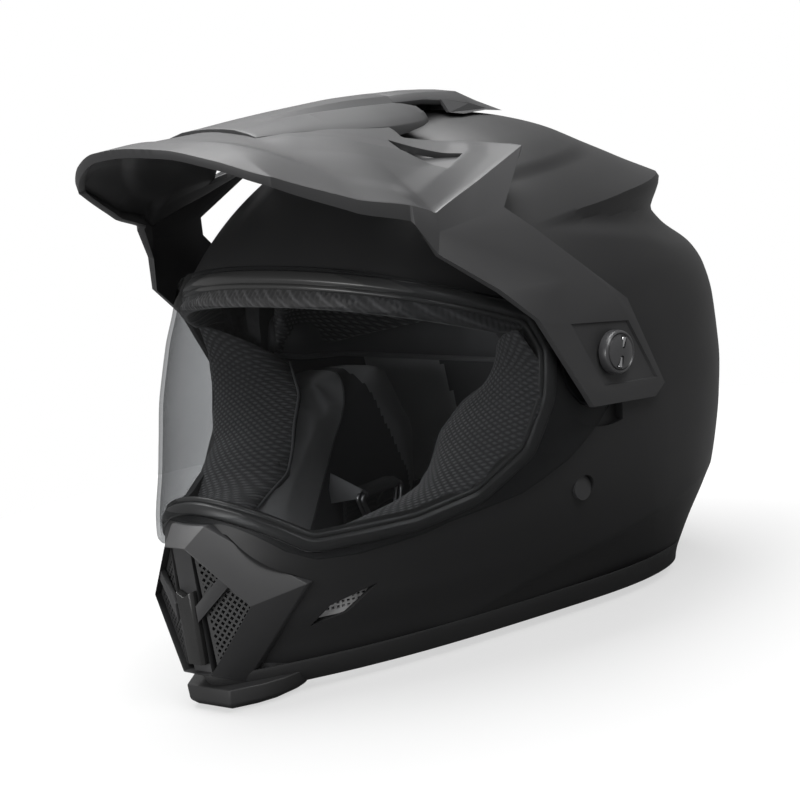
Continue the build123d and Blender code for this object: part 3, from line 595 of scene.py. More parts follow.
# Duct behind the chin vent, a smaller copy of its mouth, and the housing's recess
MOUTH, MOUTH_MIDDLE, DUCT_SHARE = np.array([(7.0, 82.2), (34.5, 53.0), (10.0, 20.0)]), (0, 51.1), 0.78
duct = MOUTH_MIDDLE + (MOUTH - MOUTH_MIDDLE) * DUCT_SHARE
cut(shell, both_sides([tuple(place) for place in duct]), 1, -220, -100)
RECESS = both_sides([(12.2, -153.2, 91.4), (49.4, -128.4, 57.6), (15.0, -146.4, 10.6)])
verts = [(x, y + 0.6, z) for x, y, z in RECESS] + [(x * 1.02, -196, z) for x, _, z in RECESS]
verts += [(0, -138, 52), (0, -196, 52)]
faces = []
for i in range(6):
    j = (i + 1) % 6
    faces += [(i, j, 6 + j, 6 + i), (i, j, 12), (6 + i, 6 + j, 13)]
boolean(shell, loose("cutter", verts, faces))

# Slot of the side vent, then the knob's pocket with the sweep of the peak's arm, and the screw holes
SLOT = [(-0.765, 0.115), (-0.722, 0.152), (-0.605, 0.178), (-0.673, 0.130)]
for _, side in SIDES:
    cut(shell, side_places(SLOT), 0, side * 24, side * 127)
    bore(shell, PIVOT, 24.5, side, POCKET_FLOOR)
    sweep = [(y, z) for y, z in disc_places(PIVOT, 36, 96) if y < 24]
    cut(shell, sweep, 0, side * POCKET_FLOOR, side * 150)
    bore(shell, PIVOT, 3.3, side, 100, count=32)
    bore(shell, SCREW, 6.3, side, 110.6, count=48)
settle(shell, "helmet", MATTE, ("outer_shell",))
sharp_by_angle(shell, 34)

# Gasket round the eye port


def port_line(inset, count=520):
    """Closed line along the port's edge on the head form, with the form's normals."""
    places = resample(rounded(PORT_PLACES, 11), 4000, True)
    xs = form_x(places[:, 0], places[:, 1], inset)
    keep = xs > 0
    first = int(np.argmax(keep & ~np.roll(keep, 1)))
    order = np.roll(np.arange(len(places)), -first)
    kept = order[keep[order]]
    half = np.column_stack([xs[kept], places[kept]])
    ahead = 1.5 * math.pi
    ends = [form_point(ahead, (z - BASE) / (TALL - inset), inset) for z in (half[0, 2], half[-1, 2])]
    half = np.vstack([ends[0], half, ends[1]])
    mirror = half[::-1] * (-1, 1, 1)
    line = blur_line(resample(np.vstack([half, mirror[1:-1]]), count, True), 3, True)
    return line, form_normals(line)


line, line_normals = port_line(0.0)
GASKET = [
    (0.2, -5.2), (0.2, 0.0), (0.5, 0.9), (1.2, 1.35), (5.2, 1.5), (6.0, 1.1), (6.4, 0.2),
    (6.9, -0.3), (7.4, 0.1), (8.8, 0.0), (9.4, -0.8), (9.6, -1.8), (9.4, -5.2),
]
inward = np.cross(line_normals, unit(np.roll(line, -1, 0) - np.roll(line, 1, 0)))
if (((0.0, -100.0, 130.0) - line) * inward).sum() < 0:
    GASKET = [(-a, o) for a, o in GASKET]
mesh = swept(line, line_normals, GASKET)
gasket = piece("port_gasket", *mesh, "helmet", "gasket_rubber", RUBBER, ("eye_port_gasket",))
sharp_by_angle(gasket, 50)

# Peak: deck with its side faces and arms

DECK_Y = np.array([-153.0, -128.0, -95.0, -61.0, -25.0, 12.0])
DECK_X = np.array([
    (0, 25, 48, 68), (0, 25, 50, 73), (0, 24, 56, 88), (0, 26, 64, 103), (0, 28, 64, 100), (0, 33, 62, 95),
], float)
DECK_Z = 270.5 * np.array([
    (1.000, 0.993, 0.965, 0.917), (1.000, 0.993, 0.967, 0.921), (0.996, 0.987, 0.946, 0.861),
    (0.994, 0.980, 0.924, 0.810), (0.991, 0.969, 0.908, 0.843), (0.987, 0.935, 0.906, 0.876),
])


def deck_height(x, y):
    """Height of the deck at a place in plan."""
    xs = np.array([smooth_at(DECK_Y, DECK_X[:, k], y) for k in range(4)])
    zs = [smooth_at(DECK_Y, DECK_Z[:, k], y) for k in range(3)] + [np.interp(y, DECK_Y, DECK_Z[:, 3])]
    return float(smooth_at(np.concatenate([-xs[:0:-1], xs]), zs[:0:-1] + zs, x))


def front_y(x):
    """Front edge of the deck in plan."""
    return 111.9 - 153.0 - math.sqrt(max(111.9**2 - x * x, 0))


def rear_y(x):
    """Rear edge of the deck in plan."""
    return np.interp(abs(x), [0, 45, 51, 60, 68, 80, 89, 95], [-22, -24, -26, -13, -1, 6.5, 10.7, 12])


def near_line(points, x, y):
    """Distance from a place in plan to a chain of points, and the share along it."""
    points = np.array(points, float)
    away, d = (x, y) - points[:-1], np.diff(points, axis=0)
    t = np.clip((away * d).sum(1) / (d * d).sum(1), 0, 1)
    gap = np.linalg.norm(away - t[:, None] * d, axis=1)
    k = int(np.argmin(gap))
    return gap[k], (k + t[k]) / len(d)


RIDGE = [(36, -104), (42.3, -84), (54.9, -60.8), (63, -46.1), (68, -38)]
RAISED = [(96, -68), (93.4, -65), (80.4, -10.5), (70, 2)]
RIM_FOLD = [(0, -136), (20, -133), (41.8, -121), (64.2, -106.5), (81.9, -88), (93, -68)]


def deck_relief(x, y):
    """Folds pressed into the deck: a ridge, a raised line and the sunken field behind the rim."""
    side = abs(x)
    gap, share = near_line(RIDGE, side, y)
    height = 1.5 * max(0.0, 1 - gap / 11.0) * step(0, 0.25, share)
    gap, share = near_line(RAISED, side, y)
    height += 1.2 * max(0.0, 1 - gap / 9.0) * step(0, 0.2, share) * step(1, 0.8, share)
    if y > np.interp(side, *zip(*RIM_FOLD)):
        height -= 1.3 * step(0, 9, near_line(RIM_FOLD, side, y)[0]) * step(12, -30, y)
    return height


def edge_place(vert, sideways, back):
    """Place under an edge vertex of the deck, at the foot of the band along the edge."""
    x, y, z = np.array(vert.co) / MM
    return x + sideways, y + back, z - np.interp(y, [-153, -128, -95, -72], [4.4, 5.0, 6.6, 7.6])


def put(place):
    """New vertex of the peak's sheet at a place in millimetres."""
    return bm.verts.new(tuple(np.array(place, float) * MM))


ROWS, COLS = 116, 149
bm = bmesh.new()
deck = []
for v in np.arange(ROWS) / (ROWS - 1):
    line = []
    for u in -1 + 2 * np.arange(COLS) / (COLS - 1):
        y = (1 - v) * front_y(70.0 * u) + v * rear_y(95.0 * u)
        x = u * np.interp(y, [-153, -128.4, -95, -61, -25, 12], [70, 70, 88, 103, 100, 95])
        fade = step(0, 0.04, min(v, (1 - abs(u)) * 2))
        line.append(put((x, y, deck_height(x, y) + deck_relief(x, y) * fade)))
    deck.append(line)
for row, after in zip(deck[:-1], deck[1:]):
    for j in range(COLS - 1):
        bm.faces.new((row[j], row[j + 1], after[j + 1], after[j]))

# Corners of the side panels, the face under the fin and the arm's facets
ARM = {
    "fin_low": (110, -22.8, 213.8), "inner": (104.5, -62, 210.5), "kink1": (99.5, -72, 216),
    "kink2": (104, -64.5, 200.5), "low1": (124.5, -48.8, 180), "low2": (128, -29.8, 161.4),
    "low3": (131.5, -4.8, 113), "low4": (131.5, 39.9, 106.6), "low5": (131.5, 48, 111.5),
    "top": (130.5, 30.8, 157.6), "mid": (127.5, -4.5, 176), "ridge": (119.5, -15.2, 202.5),
}
PANELS = (
    ("ridge", "top", "mid"), ("kink2", "inner", "mid", "low1"), ("low1", "mid", "low2"),
    ("low2", "mid", "top", "low5", "low4", "low3"),
)
corners = {}
for _, side in SIDES:
    edge = [row[-1 if side > 0 else 0] for row in deck]
    at = {key: np.array((side * x, y, z), float) for key, (x, y, z) in ARM.items()}
    made = []
    for vert in edge:
        y = vert.co.y / MM
        if y < -72:
            made.append(put(edge_place(vert, -side * 0.8, 0.3)))
            continue
        start, end, t = ("kink1", "inner", (y + 72) / 10) if y < -62 else ("inner", "fin_low", (y + 62) / 74)
        made.append(put(at[start] * (1 - t) + at[end] * t))
    first, second = (min(i for i in range(ROWS) if edge[i].co.y / MM >= y) for y in (-72, -62))
    made[first].co = Vector(at["kink1"] * MM)
    made[second].co = Vector(at["inner"] * MM)
    for i in range(ROWS - 1):
        bm.faces.new((edge[i], edge[i + 1], made[i + 1], made[i]))
    named = {"kink1": made[first], "inner": made[second], "fin_low": made[-1]}
    for key, place in at.items():
        if key not in named:
            named[key] = put(place)
    bm.faces.new([named["kink2"]] + made[first:second + 1])
    bm.faces.new(made[second:] + [named["ridge"], named["mid"]])
    for panel in PANELS:
        bm.faces.new([named[k] for k in panel])
    corners[side] = made[0]
front_low = [corners[-1]] + [put(edge_place(vert, 0, 1.0)) for vert in deck[0][1:-1]] + [corners[1]]
for j in range(COLS - 1):
    bm.faces.new((deck[0][j], deck[0][j + 1], front_low[j + 1], front_low[j]))
bmesh.ops.recalc_face_normals(bm, faces=bm.faces)
if sum(f.normal.z * f.calc_area() for f in bm.faces) < 0:
    bmesh.ops.reverse_faces(bm, faces=bm.faces)


def cut_out(mesh, places, axis, low, high):
    """Faces of a sheet inside a polygon across an axis, between two depths, cut free along its edges."""
    places = np.array(places, float)
    reach = 4 if axis == 2 else 30
    near, far = places.min(0) - 1.5 - reach, places.max(0) + 1.5 + reach
    edges = list(zip(places, np.roll(places, -1, 0)))

    def flat(face):
        c = face.calc_center_median() / MM
        return (np.array((c.x, c.y)), c.z) if axis == 2 else (np.array((c.y, c.z)), c.x)

    def facing(face):
        place, depth = flat(face)
        return low < depth < high and (near < place).all() and (place < far).all()

    for a, b in edges:
        d = b - a
        if axis == 2:
            no, co = (-d[1], d[0], 0), (a[0] * MM, a[1] * MM, 0)
        else:
            no, co = (0, -d[1], d[0]), (0, a[0] * MM, a[1] * MM)
        parts = {part for f in mesh.faces if facing(f) for part in (f, *f.edges, *f.verts)}
        bmesh.ops.bisect_plane(mesh, geom=list(parts), plane_co=co, plane_no=no, dist=0.15 * MM)
    inside = []
    for f in mesh.faces:
        place, depth = flat(f)
        signs = [(b - a)[0] * (place - a)[1] - (b - a)[1] * (place - a)[0] for a, b in edges]
        if low < depth < high and (min(signs) > 0 or max(signs) < 0):
            inside.append(f)
    return inside


WINDOW = [(54.0, -36.0), (80.4, -14.0), (85.4, -31.0), (66.0, -40.5)]
PAD = [(-9.9, 154.6), (29.2, 147.1), (43.5, 115.2), (5.2, 120.6)]
PAD_MIDDLE, PAD_SINK, PAD_TAPER = (16.5, 134.5), 1.4, 0.035
PEAK_THICKNESS = 3.4
for _, side in SIDES:
    opening = cut_out(bm, [(side * x, y) for x, y in WINDOW], 2, 225, 280)
    bmesh.ops.delete(bm, geom=opening, context="FACES")
    faces = cut_out(bm, PAD, 0, *sorted((side * 120, side * 140)))
    sunk = bmesh.ops.extrude_face_region(bm, geom=faces)["geom"]
    bmesh.ops.delete(bm, geom=[f for f in faces if f.is_valid], context="FACES_ONLY")
    for v in sunk:
        if isinstance(v, bmesh.types.BMVert):
            v.co.x -= side * PAD_SINK * MM
            v.co += (Vector((v.co.x, PAD_MIDDLE[0] * MM, PAD_MIDDLE[1] * MM)) - v.co) * PAD_TAPER
bmesh.ops.remove_doubles(bm, verts=bm.verts, dist=0.05 * MM)
peak = loose("peak_skin", [], [])
bm.to_mesh(peak.data)
bm.free()
thick = peak.modifiers.new("thick", "SOLIDIFY")
thick.thickness = PEAK_THICKNESS * MM
thick.offset = -1
thick.use_even_offset = True
thick.use_quality_normals = True
bake_modifiers(peak)
settle(peak, "peak_body", MATTE_PEAK_PAINTED_SHEEN, ("peak",))
bevel(peak, 0.8, 26, 24)


def plate(name, outline, shift, body, slot, mat):
    """Flat-faced piece between an outline and a shifted copy of it."""
    shifted = [tuple(np.add(place, shift)) for place in outline]
    return piece(name, *slab(outline, shifted), body, slot, mat, smooth=False)


# Ramps in the windows
for name, side in SIDES:
    ramp = []
    for x, y, sink in ((61, -39.5, 10.5), (55, -35, 10.5), (82, -12.5, 1.2), (87, -31.5, 1.2)):
        ramp.append((side * x, y, deck_height(side * x, y) - sink))
    plate(f"peak_window_ramp_{name}", ramp, (0, 0, -2.2), "peak_body", "peak_plastic", MATTE_PEAK_PAINTED_SHEEN)

# Scoop on the deck: centre panel between two ribs, then the hood over the opening
SCOOP = [
    (-100, [(0, 269.8), (11, 269.4), (15, 269.0), (19, 268.6), (28, 266.4), (33, 264.6), (33.5, 262)]),
    (-75, [(0, 270.3), (11, 269.6), (14.5, 268.3), (18, 268.3), (31, 264.8), (36, 262.2), (37, 258)]),
    (-48, [(0, 270.3), (11, 269.3), (15, 266.8), (19.5, 266.9), (35, 261.6), (41, 258.0), (42, 253)]),
    (-20, [(0, 269.5), (11, 268.0), (15.5, 264.2), (23, 264.9), (38, 258.6), (44.5, 254.2), (45.5, 249)]),
    (3, [(0, 267.6), (11, 265.8), (16, 261.2), (25.5, 262.4), (36, 256.4), (40, 252.6), (41, 250)]),
    (12, [(0, 266.6), (11, 264.8), (16, 260.0), (29, 258.8), (34, 255.6), (35.5, 253.2), (36, 251)]),
]
rings = [
    np.array([(x, y, z) for x, z in half] + [(-x, y, z) for x, z in half[:0:-1]], float) for y, half in SCOOP
]
dense = [a * (1 - k / 8) + b * (k / 8) for a, b in zip(rings[:-1], rings[1:]) for k in range(8)]
dense = np.array(dense + rings[-1:])
for k in range(dense.shape[1]):
    dense[:, k] = blur_line(dense[:, k], 6)
scoop = piece("peak_scoop", *capped(dense), "peak_body", "peak_plastic", MATTE_PEAK_PAINTED_SHEEN)
bevel(scoop, 0.5, 20, 30)
HOOD = [
    (10, [(0, 266.8), (11, 265.0), (15, 261.4)]), (30, [(0, 264.8), (12, 263.2), (16.5, 259.4)]),
    (45, [(0, 262.6), (13.5, 261.0), (20, 256.0)]), (56, [(0, 260.6), (14.5, 259.0), (22.5, 252.6)]),
    (68, [(0, 253.6), (15, 252.4), (23, 247.4)]), (80, [(0, 246.4), (15, 245.4), (22.5, 243.2)]),
]
rings = []
for y, half in HOOD:
    top = [(-x, y, z) for x, z in half[:0:-1]] + [(x, y, z) for x, z in half]
    low = [(x * 0.93, y - 1.0, z - 2.4) for x, _, z in reversed(top)]
    rings.append(top + low)
hood = piece("peak_scoop_hood", *capped(rings), "peak_body", "peak_plastic", MATTE_PEAK_PAINTED_SHEEN)
bevel(hood, 0.5, 20, 28)
WALL = (
    (19, 40, 257.5), (22.4, 56, 252.4), (22.9, 68, 247.2), (22.4, 80, 243.0), (27.5, 62, 243.6),
    (29, 44, 246.6), (25.5, 38, 251),
)
for name, side in SIDES:
    wall = [(side * x, y, z) for x, y, z in WALL]
    plate(f"peak_scoop_wall_{name}", wall, (-side * 2.2, 0, 0), "peak_body", "peak_plastic", VENT)

# Knobs: domed cap in a ring with two bright slots
CAP = (
    (10.5, 130.5), (10.5, 134.4), (10.1, 135.2), (9.4, 135.6), (8.9, 135.3), (8.6, 134.9), (8.2, 135.6),
    (6.5, 136.3), (4.0, 136.8), (1.5, 137.0), (0.02, 137.0),
)


def turned(places, turn):
    """Places about the knob's middle, turned."""
    c, s = math.cos(turn), math.sin(turn)
    return [(PIVOT[0] + a * c - b * s, PIVOT[1] + a * s + b * c) for a, b in places]


for name, side in SIDES:
    rings = [[(side * x, y, z) for y, z in disc_places(PIVOT, radius, 72)] for radius, x in CAP]
    made = capped(rings)
    knob = piece(f"knob_cap_{name}", *made, f"knob_{name}", "knob_metal", KNOB, (f"peak_knob_{name}",))
    for tag, turn in (("a", 1.15), ("b", 1.15 + math.pi)):
        slot = turned(((1.8, -1.0), (8.0, -2.0), (8.0, 2.0), (1.8, 1.0)), turn)
        cut(knob, rounded(slot, 0.6), 0, side * 135.2, side * 140)
        slot = turned(((2.4, -0.5), (7.4, -1.3), (7.4, 1.3), (2.4, 0.5)), turn)
        made = prism(slot, 0, side * 134.6, side * 136.5)
        insert = f"knob_insert_{name}_{tag}"
        bevel(piece(insert, *made, f"knob_{name}", "knob_metal", KNOB_METAL, smooth=False), 0.3, 30)
    settle(knob, None, KNOB)
    sharp_by_angle(knob, 35)

# Face shield

SHIELD_LEVELS = np.array([
    (0.24, 0.985, 0.924, 0.119, 1.58), (0.32, 0.945, 0.984, 0.095, 1.62), (0.38, 0.885, 1.000, 0.071, 1.68),
    (0.44, 0.825, 1.000, 0.036, 1.76), (0.52, 0.735, 1.000, -0.012, 1.88), (0.60, 0.645, 1.000, -0.012, 1.96),
    (0.66, 0.565, 0.992, 0.000, 2.04), (0.72, 0.515, 0.968, 0.024, 2.10), (0.82, 0.440, 0.924, 0.048, 2.20),
])
SHIELD_EDGE = [
    (-1.235, 0.363), (-0.920, 0.343), (-0.840, 0.280), (-0.784, 0.256), (-0.685, 0.252), (-0.519, 0.264),
    (-0.457, 0.276), (-0.247, 0.296), (-0.105, 0.336), (0.037, 0.400), (0.123, 0.440), (0.123, 0.590),
    (0.062, 0.610), (-0.111, 0.640), (-0.272, 0.688), (-0.395, 0.736), (-0.506, 0.780), (-0.568, 0.794),
    (-1.235, 0.858),
]


def shield_rings(inset):
    """Rings of the shield's curve, open at the rear, closed there by a straight back."""
    share = np.linspace(0.24, 0.82, 90)[:, None]
    curves = [smooth_at(SHIELD_LEVELS[:, 0], SHIELD_LEVELS[:, k], share) for k in range(1, 5)]
    width, middle, power = curves[1] * SHIELD_HALF - inset, curves[2] * REAR, curves[3]
    reach = middle + curves[0] * SHIELD_FRONT - inset
    angle = np.pi * np.arange(161) / 160
    x = width * np.sign(np.cos(angle)) * np.abs(np.cos(angle)) ** (2 / power)
    y = middle - reach * np.abs(np.sin(angle)) ** (2 / power)
    z = BASE + share * TALL
    ring = np.stack(np.broadcast_arrays(x, y, z), -1)
    back = np.stack(np.broadcast_arrays(width * (-1, 1), SHIELD_BACK, z), -1)
    return np.concatenate([ring, back], 1)


SHIELD_HALF, SHIELD_FRONT, SHIELD_BACK, SHIELD_THICKNESS = 126.0, 168.0, 51.0, 2.2
shield = loose("shield_skin", *capped(shield_rings(0)))
rings = shield_rings(SHIELD_THICKNESS)
hollow = np.concatenate([rings[:1] - (0, 0, 20), rings, rings[-1:] + (0, 0, 20)])
boolean(shield, loose("cutter", *capped(hollow)))
outline = loose("outline", *prism(rounded(side_places(SHIELD_EDGE), 5), 0, -180, 180))
ears = loose("ears", *prism(disc_places(PIVOT, 21, 72), 0, -180, 180))
boolean(outline, ears, "UNION")
boolean(shield, outline, "INTERSECT")
for _, side in SIDES:
    bore(shield, PIVOT, 8.3, side, 60, count=48)
settle(shield, "shield", SHIELD_MAT, ("face_shield",))
sharp_by_angle(shield, 40)


GAP, TILT_ROOM, TILT_FROM, SOFTNESS = 0.4, 0.042, 15, 0.3


def clear_of(obj, under):
    """Lift an object's low places just off a surface below, with room for the peak's tilt."""
    tree = BVHTree.FromObject(under, bpy.context.evaluated_depsgraph_get())
    soft = SOFTNESS * MM
    for v in obj.data.vertices:
        hit = tree.ray_cast(Vector((v.co.x, v.co.y, 0.4)), Vector((0, 0, -1)))[0]
        if hit is None:
            continue
        lowest = hit.z + (GAP + TILT_ROOM * max(0.0, v.co.y / MM - TILT_FROM)) * MM
        q = (v.co.z - lowest) / soft
        v.co.z = lowest + soft * (q if q > 30 else math.log1p(math.exp(max(q, -12))))


for obj in [o for o in bpy.data.objects if o.name.startswith("peak_scoop")]:
    clear_of(obj, shell)

# Edged copies of moulded nodes


def edged(node_name, name, width, body, mat, angle=25):
    """Copy of a moulded node with rounded edges, which replaces it."""

    def join(bm):
        bmesh.ops.remove_doubles(bm, verts=bm.verts, dist=0.02 * MM)
        bmesh.ops.dissolve_limit(bm, angle_limit=math.radians(1.2), verts=bm.verts, edges=bm.edges)

    obj = edit(copy_of(node_name, name), join)
    settle(obj, body, mat, (node_name,))
    return bevel(obj, width, angle, 30)


edged("chin_vent_housing", "chin_vent_shell", 0.7, "helmet", VENT)
edged("chin_vent_slider", "chin_vent_shutter", 0.5, "vent_slider", GLOSS)
edged("base_trim", "base_trim_band", 0.35, "helmet", TRIM, angle=50)

# Faceted bezel round the chin vent's mouth, between corners of its rim and of the mouth
RIM = ((11.6, -154.2, 90.6), (48.8, -129.2, 57.5), (14.4, -147.6, 11.4))
LIP = ((7, -165.0, 82.2), (34.5, -154.2, 53), (10, -164.7, 20))
rings = [
    both_sides([(x * share, y + back, z) for x, y, z in outline])
    for outline, share, back in ((RIM, 1, -0.4), (LIP, 1, -0.3), (LIP, 1, 3.0), (RIM, 0.985, 5.0))
]
faces = grid_faces(4, 6, True, looped=True)
bezel = piece("chin_vent_bezel", sum(rings, []), faces, "helmet", "trim_plastic", VENT)
bevel(bezel, 0.6, 12, 20)

# Undertray: a shallow dish under the chin bar
TRAY = (
    (1.0, -124, (12, -157.5), (19, -147), (22, -138), (22, -130)),
    (4.0, -121, (14.5, -160.5), (23, -148), (27, -137), (27, -129)),
    (11.5, -119.5, (15.5, -160), (25, -147), (29, -136), (30, -128)),
)
tray = [both_sides([(x, y, z) for x, y in half + [(half[-1][0], end)]]) for z, end, *half in TRAY]
undertray = piece("undertray_dish", *capped(tray), "helmet", "trim_plastic", TRIM, ("chin_undertray",))
bevel(undertray, 0.9, 20, 30, 3)

# Soft pieces


CLOTH_FRAMES = 20


def soft_form(node_name, name, voxel, draw_in, cap, pressure=4.0, smooth=3):
    """Copy of a soft node: remeshed, drawn in, filled by a cloth simulation and smoothed."""
    obj = copy_of(node_name, name)
    even = obj.modifiers.new("even", "REMESH")
    even.mode = "VOXEL"
    even.voxel_size = voxel * MM
    bake_modifiers(obj)

    def shrink(bm):
        axes = {"use_axis_x": True, "use_axis_y": True, "use_axis_z": True}
        for _ in range(smooth):
            bmesh.ops.smooth_vert(bm, verts=bm.verts, factor=0.5, **axes)
        bm.normal_update()
        for v in bm.verts:
            v.co -= v.normal * draw_in * MM

    edit(obj, shrink)
    start = np.array([v.co for v in obj.data.vertices])
    cloth = obj.modifiers.new("fill", "CLOTH")
    cloth.settings.quality = 4
    cloth.settings.use_pressure = True
    cloth.settings.uniform_pressure_force = pressure
    cloth.settings.effector_weights.gravity = 0
    cloth.point_cache.frame_end = CLOTH_FRAMES
    for frame_at in range(1, CLOTH_FRAMES + 1):
        bpy.context.scene.frame_set(frame_at)
    bake_modifiers(obj)
    bpy.context.scene.frame_set(1)
    move = np.array([v.co for v in obj.data.vertices]) - start
    far = np.linalg.norm(move, axis=1, keepdims=True)
    move *= np.minimum(1, cap * MM / np.maximum(far, 1e-9))
    obj.data.vertices.foreach_set("co", (start + move).ravel())
    obj.data.update()
    fine = obj.modifiers.new("fine", "SUBSURF")
    fine.levels = 1
    return bake_modifiers(obj)


def panels(obj, choose, mats):
    """Give the faces of an object one of several materials by their place."""
    obj.data.materials.clear()
    for mat in mats:
        obj.data.materials.append(mat)
    for face in obj.data.polygons:
        c = face.center / MM
        face.material_index = choose(c.x, c.y, c.z, face.normal)


def surface_line(obj, places, toward):
    """Line on an object's surface above places, found by rays, with its normals."""
    tree = BVHTree.FromObject(obj, bpy.context.evaluated_depsgraph_get())
    points, normals = [], []
    way = Vector(toward)
    for place in resample(places, 80):
        hit, normal, _, _ = tree.ray_cast(Vector(place) * MM - way * 0.08, way, 0.2)
        if hit is not None:
            normal = np.array(-normal if normal.dot(way) > 0 else normal)
            points.append(np.array(hit) / MM + normal * 0.2)
            normals.append(normal)
    return blur_line(np.array(points), 4), np.array(normals)


def cord(name, line, normals, profile, slot, mat):
    """Open cord or strip along a line with its surface normals."""
    return piece(name, *swept(line, normals, profile, False), "helmet", slot, mat)


def tube(name, points, radius, slot, mat):
    """Round cord of piping along a line."""
    normals = np.tile(np.array([0.01, 0.02, 1.0]), (len(points), 1))
    return cord(name, points, normals, disc_places((0, 0), radius, 10), slot, mat)


SEAM = [(-20, 119), (-33, 102), (-39, 88), (-44, 81), (-52, 77.5), (-62, 77)]
REAR_SEAM = [(17, 119), (13.5, 112), (5, 97), (-4.6, 86), (-21, 66), (-36, 48)]


def cheek_panel(x, y, z, normal):
    """0 for knit, 1 for suede, 2 for the dark lining."""
    if abs(normal[0]) > 0.3 and normal[0] * x > 0:
        return 2
    rear, height = zip(*REAR_SEAM[::-1])
    if z > 76.5 and y < np.interp(z, [77, 81, 88, 102, 119], [-62, -44, -39, -33, -20]):
        return 0
    if y < np.interp(z, height, rear):
        return 1
    return 1 if y > 29 + (109 - z) * 0.35 else 2


for name, side in SIDES:
    pad = soft_form(f"cheek_pad_{name}", f"cheek_cushion_{name}", 3.2, 1.4, 3.4, smooth=12)
    settle(pad, "helmet", KNIT, (f"cheek_pad_{name}",))
    panels(pad, cheek_panel, (KNIT, SUEDE, SMOOTH_CLOTH))
    for tag, seam in (("front", SEAM), ("rear", REAR_SEAM)):
        line, normals = surface_line(pad, [(side * 60, y, z) for y, z in seam], (side, 0, 0))
        profile = disc_places((0, 0), 1, 10) * (0.8, 0.55)
        cord(f"cheek_seam_{tag}_{name}", line, normals, profile, "lining_suede", SMOOTH_CLOTH)

crown = soft_form("crown_pad", "crown_lining", 2.6, 0.9, 1.4, 2.0)
settle(crown, "helmet", KNIT, ("crown_pad",))
roll = soft_form("neck_roll", "neck_roll_pad", 4.0, 2.2, 2.6)
settle(roll, "helmet", SMOOTH_CLOTH, ("neck_roll",))

# Brow band: ribbed pad along the port's top edge under a smooth strip
COUNT = 620
RIB_HEIGHT, RIB_PITCH = 0.45, 2.4
upper_line, upper_normals = port_line(-0.6, 900)
keep = np.flatnonzero(upper_line[:, 2] > 150)
keep = keep[np.argsort(-upper_line[keep][:, 0])]
brow = resample(blur_line(upper_line[keep], 6), COUNT)
at, where = np.linspace(0, 1, COUNT), np.linspace(0, 1, len(keep))
brow_out = unit(np.stack([np.interp(at, where, upper_normals[keep, k]) for k in range(3)], -1))
down = np.array([0, 0, -1.0])
hang = unit(down - (brow_out * down).sum(-1, keepdims=True) * brow_out)
taper = np.clip(np.minimum(at, 1 - at) / 0.12, 0.12, 1) ** 0.7
SECTION = [
    (-2.0, -7.5), (-2.0, -5.2), (1.0, -4.0), (5.0, -3.2), (8.8, -2.6), (10.0, -2.0), (14.0, -2.0),
    (16.4, -3.0), (17.4, -4.8), (16.8, -6.8), (14.0, -8.2), (4.0, -9.0),
]
rings = []
for k in range(COUNT):
    ring = []
    for across, out in SECTION:
        if across > 9 and out > -4:
            out += RIB_HEIGHT * math.cos(2 * math.pi * (k * 0.42 + across * 0.35) / RIB_PITCH)
        low = across * (taper[k] if across > 0 else 1)
        ring.append(brow[k] + hang[k] * low + brow_out[k] * out)
    rings.append(ring)
band = piece("brow_band", *capped(rings), "helmet", "lining_knit", RIBS, ("brow_pad",))
strip = (brow + hang * (7.2 * taper[:, None]) - brow_out * 2.6)[20:-20]
STRIP = [(-2.0, -0.3), (-1.7, 0.5), (-0.6, 0.9), (0.6, 0.9), (1.7, 0.5), (2.0, -0.3)]
cord("brow_strip", strip, brow_out[20:-20], STRIP, "lining_knit", PIPING)

# Lining cloth on the foam's inner face, from ear to ear round the rear
rows, cols = 70, 150
angle = math.radians(-14) + math.radians(208) * np.arange(cols) / (cols - 1)
share = np.linspace(0.1, 0.60, rows)[:, None]
foam = (FRONT - 22, REAR - 30, HALF - 28, TALL - 30)
LINING_INSETS = (6.0, 3.8)
inner_side, outer_side = (form_point(angle, share, inset, foam).reshape(-1, 3) for inset in LINING_INSETS)
mesh = two_sided(inner_side, outer_side, rows, cols)
lining = piece("rear_lining", *mesh, "helmet", "lining_suede", SMOOTH_CLOTH)


def lining_panel(x, y, z, _):
    """1 for suede at the sides of the neck, 0 for the dark cloth elsewhere."""
    low = np.interp(z, [44, 68, 100, 112], [72, 64, 58, 62])
    high = np.interp(z, [44, 75, 102, 112], [84, 104, 101, 96])
    return int(44 < z < 118 and low < y < high)


panels(lining, lining_panel, (SMOOTH_CLOTH, SUEDE))
HEAD_BAND = [
    (89, -7, 134.5), (86, 10, 129), (92, 47, 122), (88, 71.5, 115), (79, 92.6, 109), (62, 114, 103),
    (32, 128, 99), (0, 132, 98),
]
BAND_SECTION = (
    (0, 1.5), (1.2, 0.0), (2.6, 0.6), (3.2, 6.0), (3.4, 14.0), (2.6, 21.0), (0.6, 23.5), (-2.5, 22.0),
    (-3.0, 8.0), (-1.8, 1.5),
)
low_line = np.array([(-x, y, z) for x, y, z in HEAD_BAND] + HEAD_BAND[-2::-1], float)
low_line = blur_line(resample(low_line, 220), 8)
across = unit(low_line * (1, 1, 0) - (0, 20, 0))
rings = [[p - away * inward + (0, 0, up) for inward, up in BAND_SECTION] for p, away in zip(low_line, across)]
head_band = piece("head_band", *capped(rings), "helmet", "lining_knit", SMOOTH_CLOTH)
tube("head_band_piping", low_line - across * 2.2 + (0, 0, 0.2), 1.5, "lining_knit", PIPING)

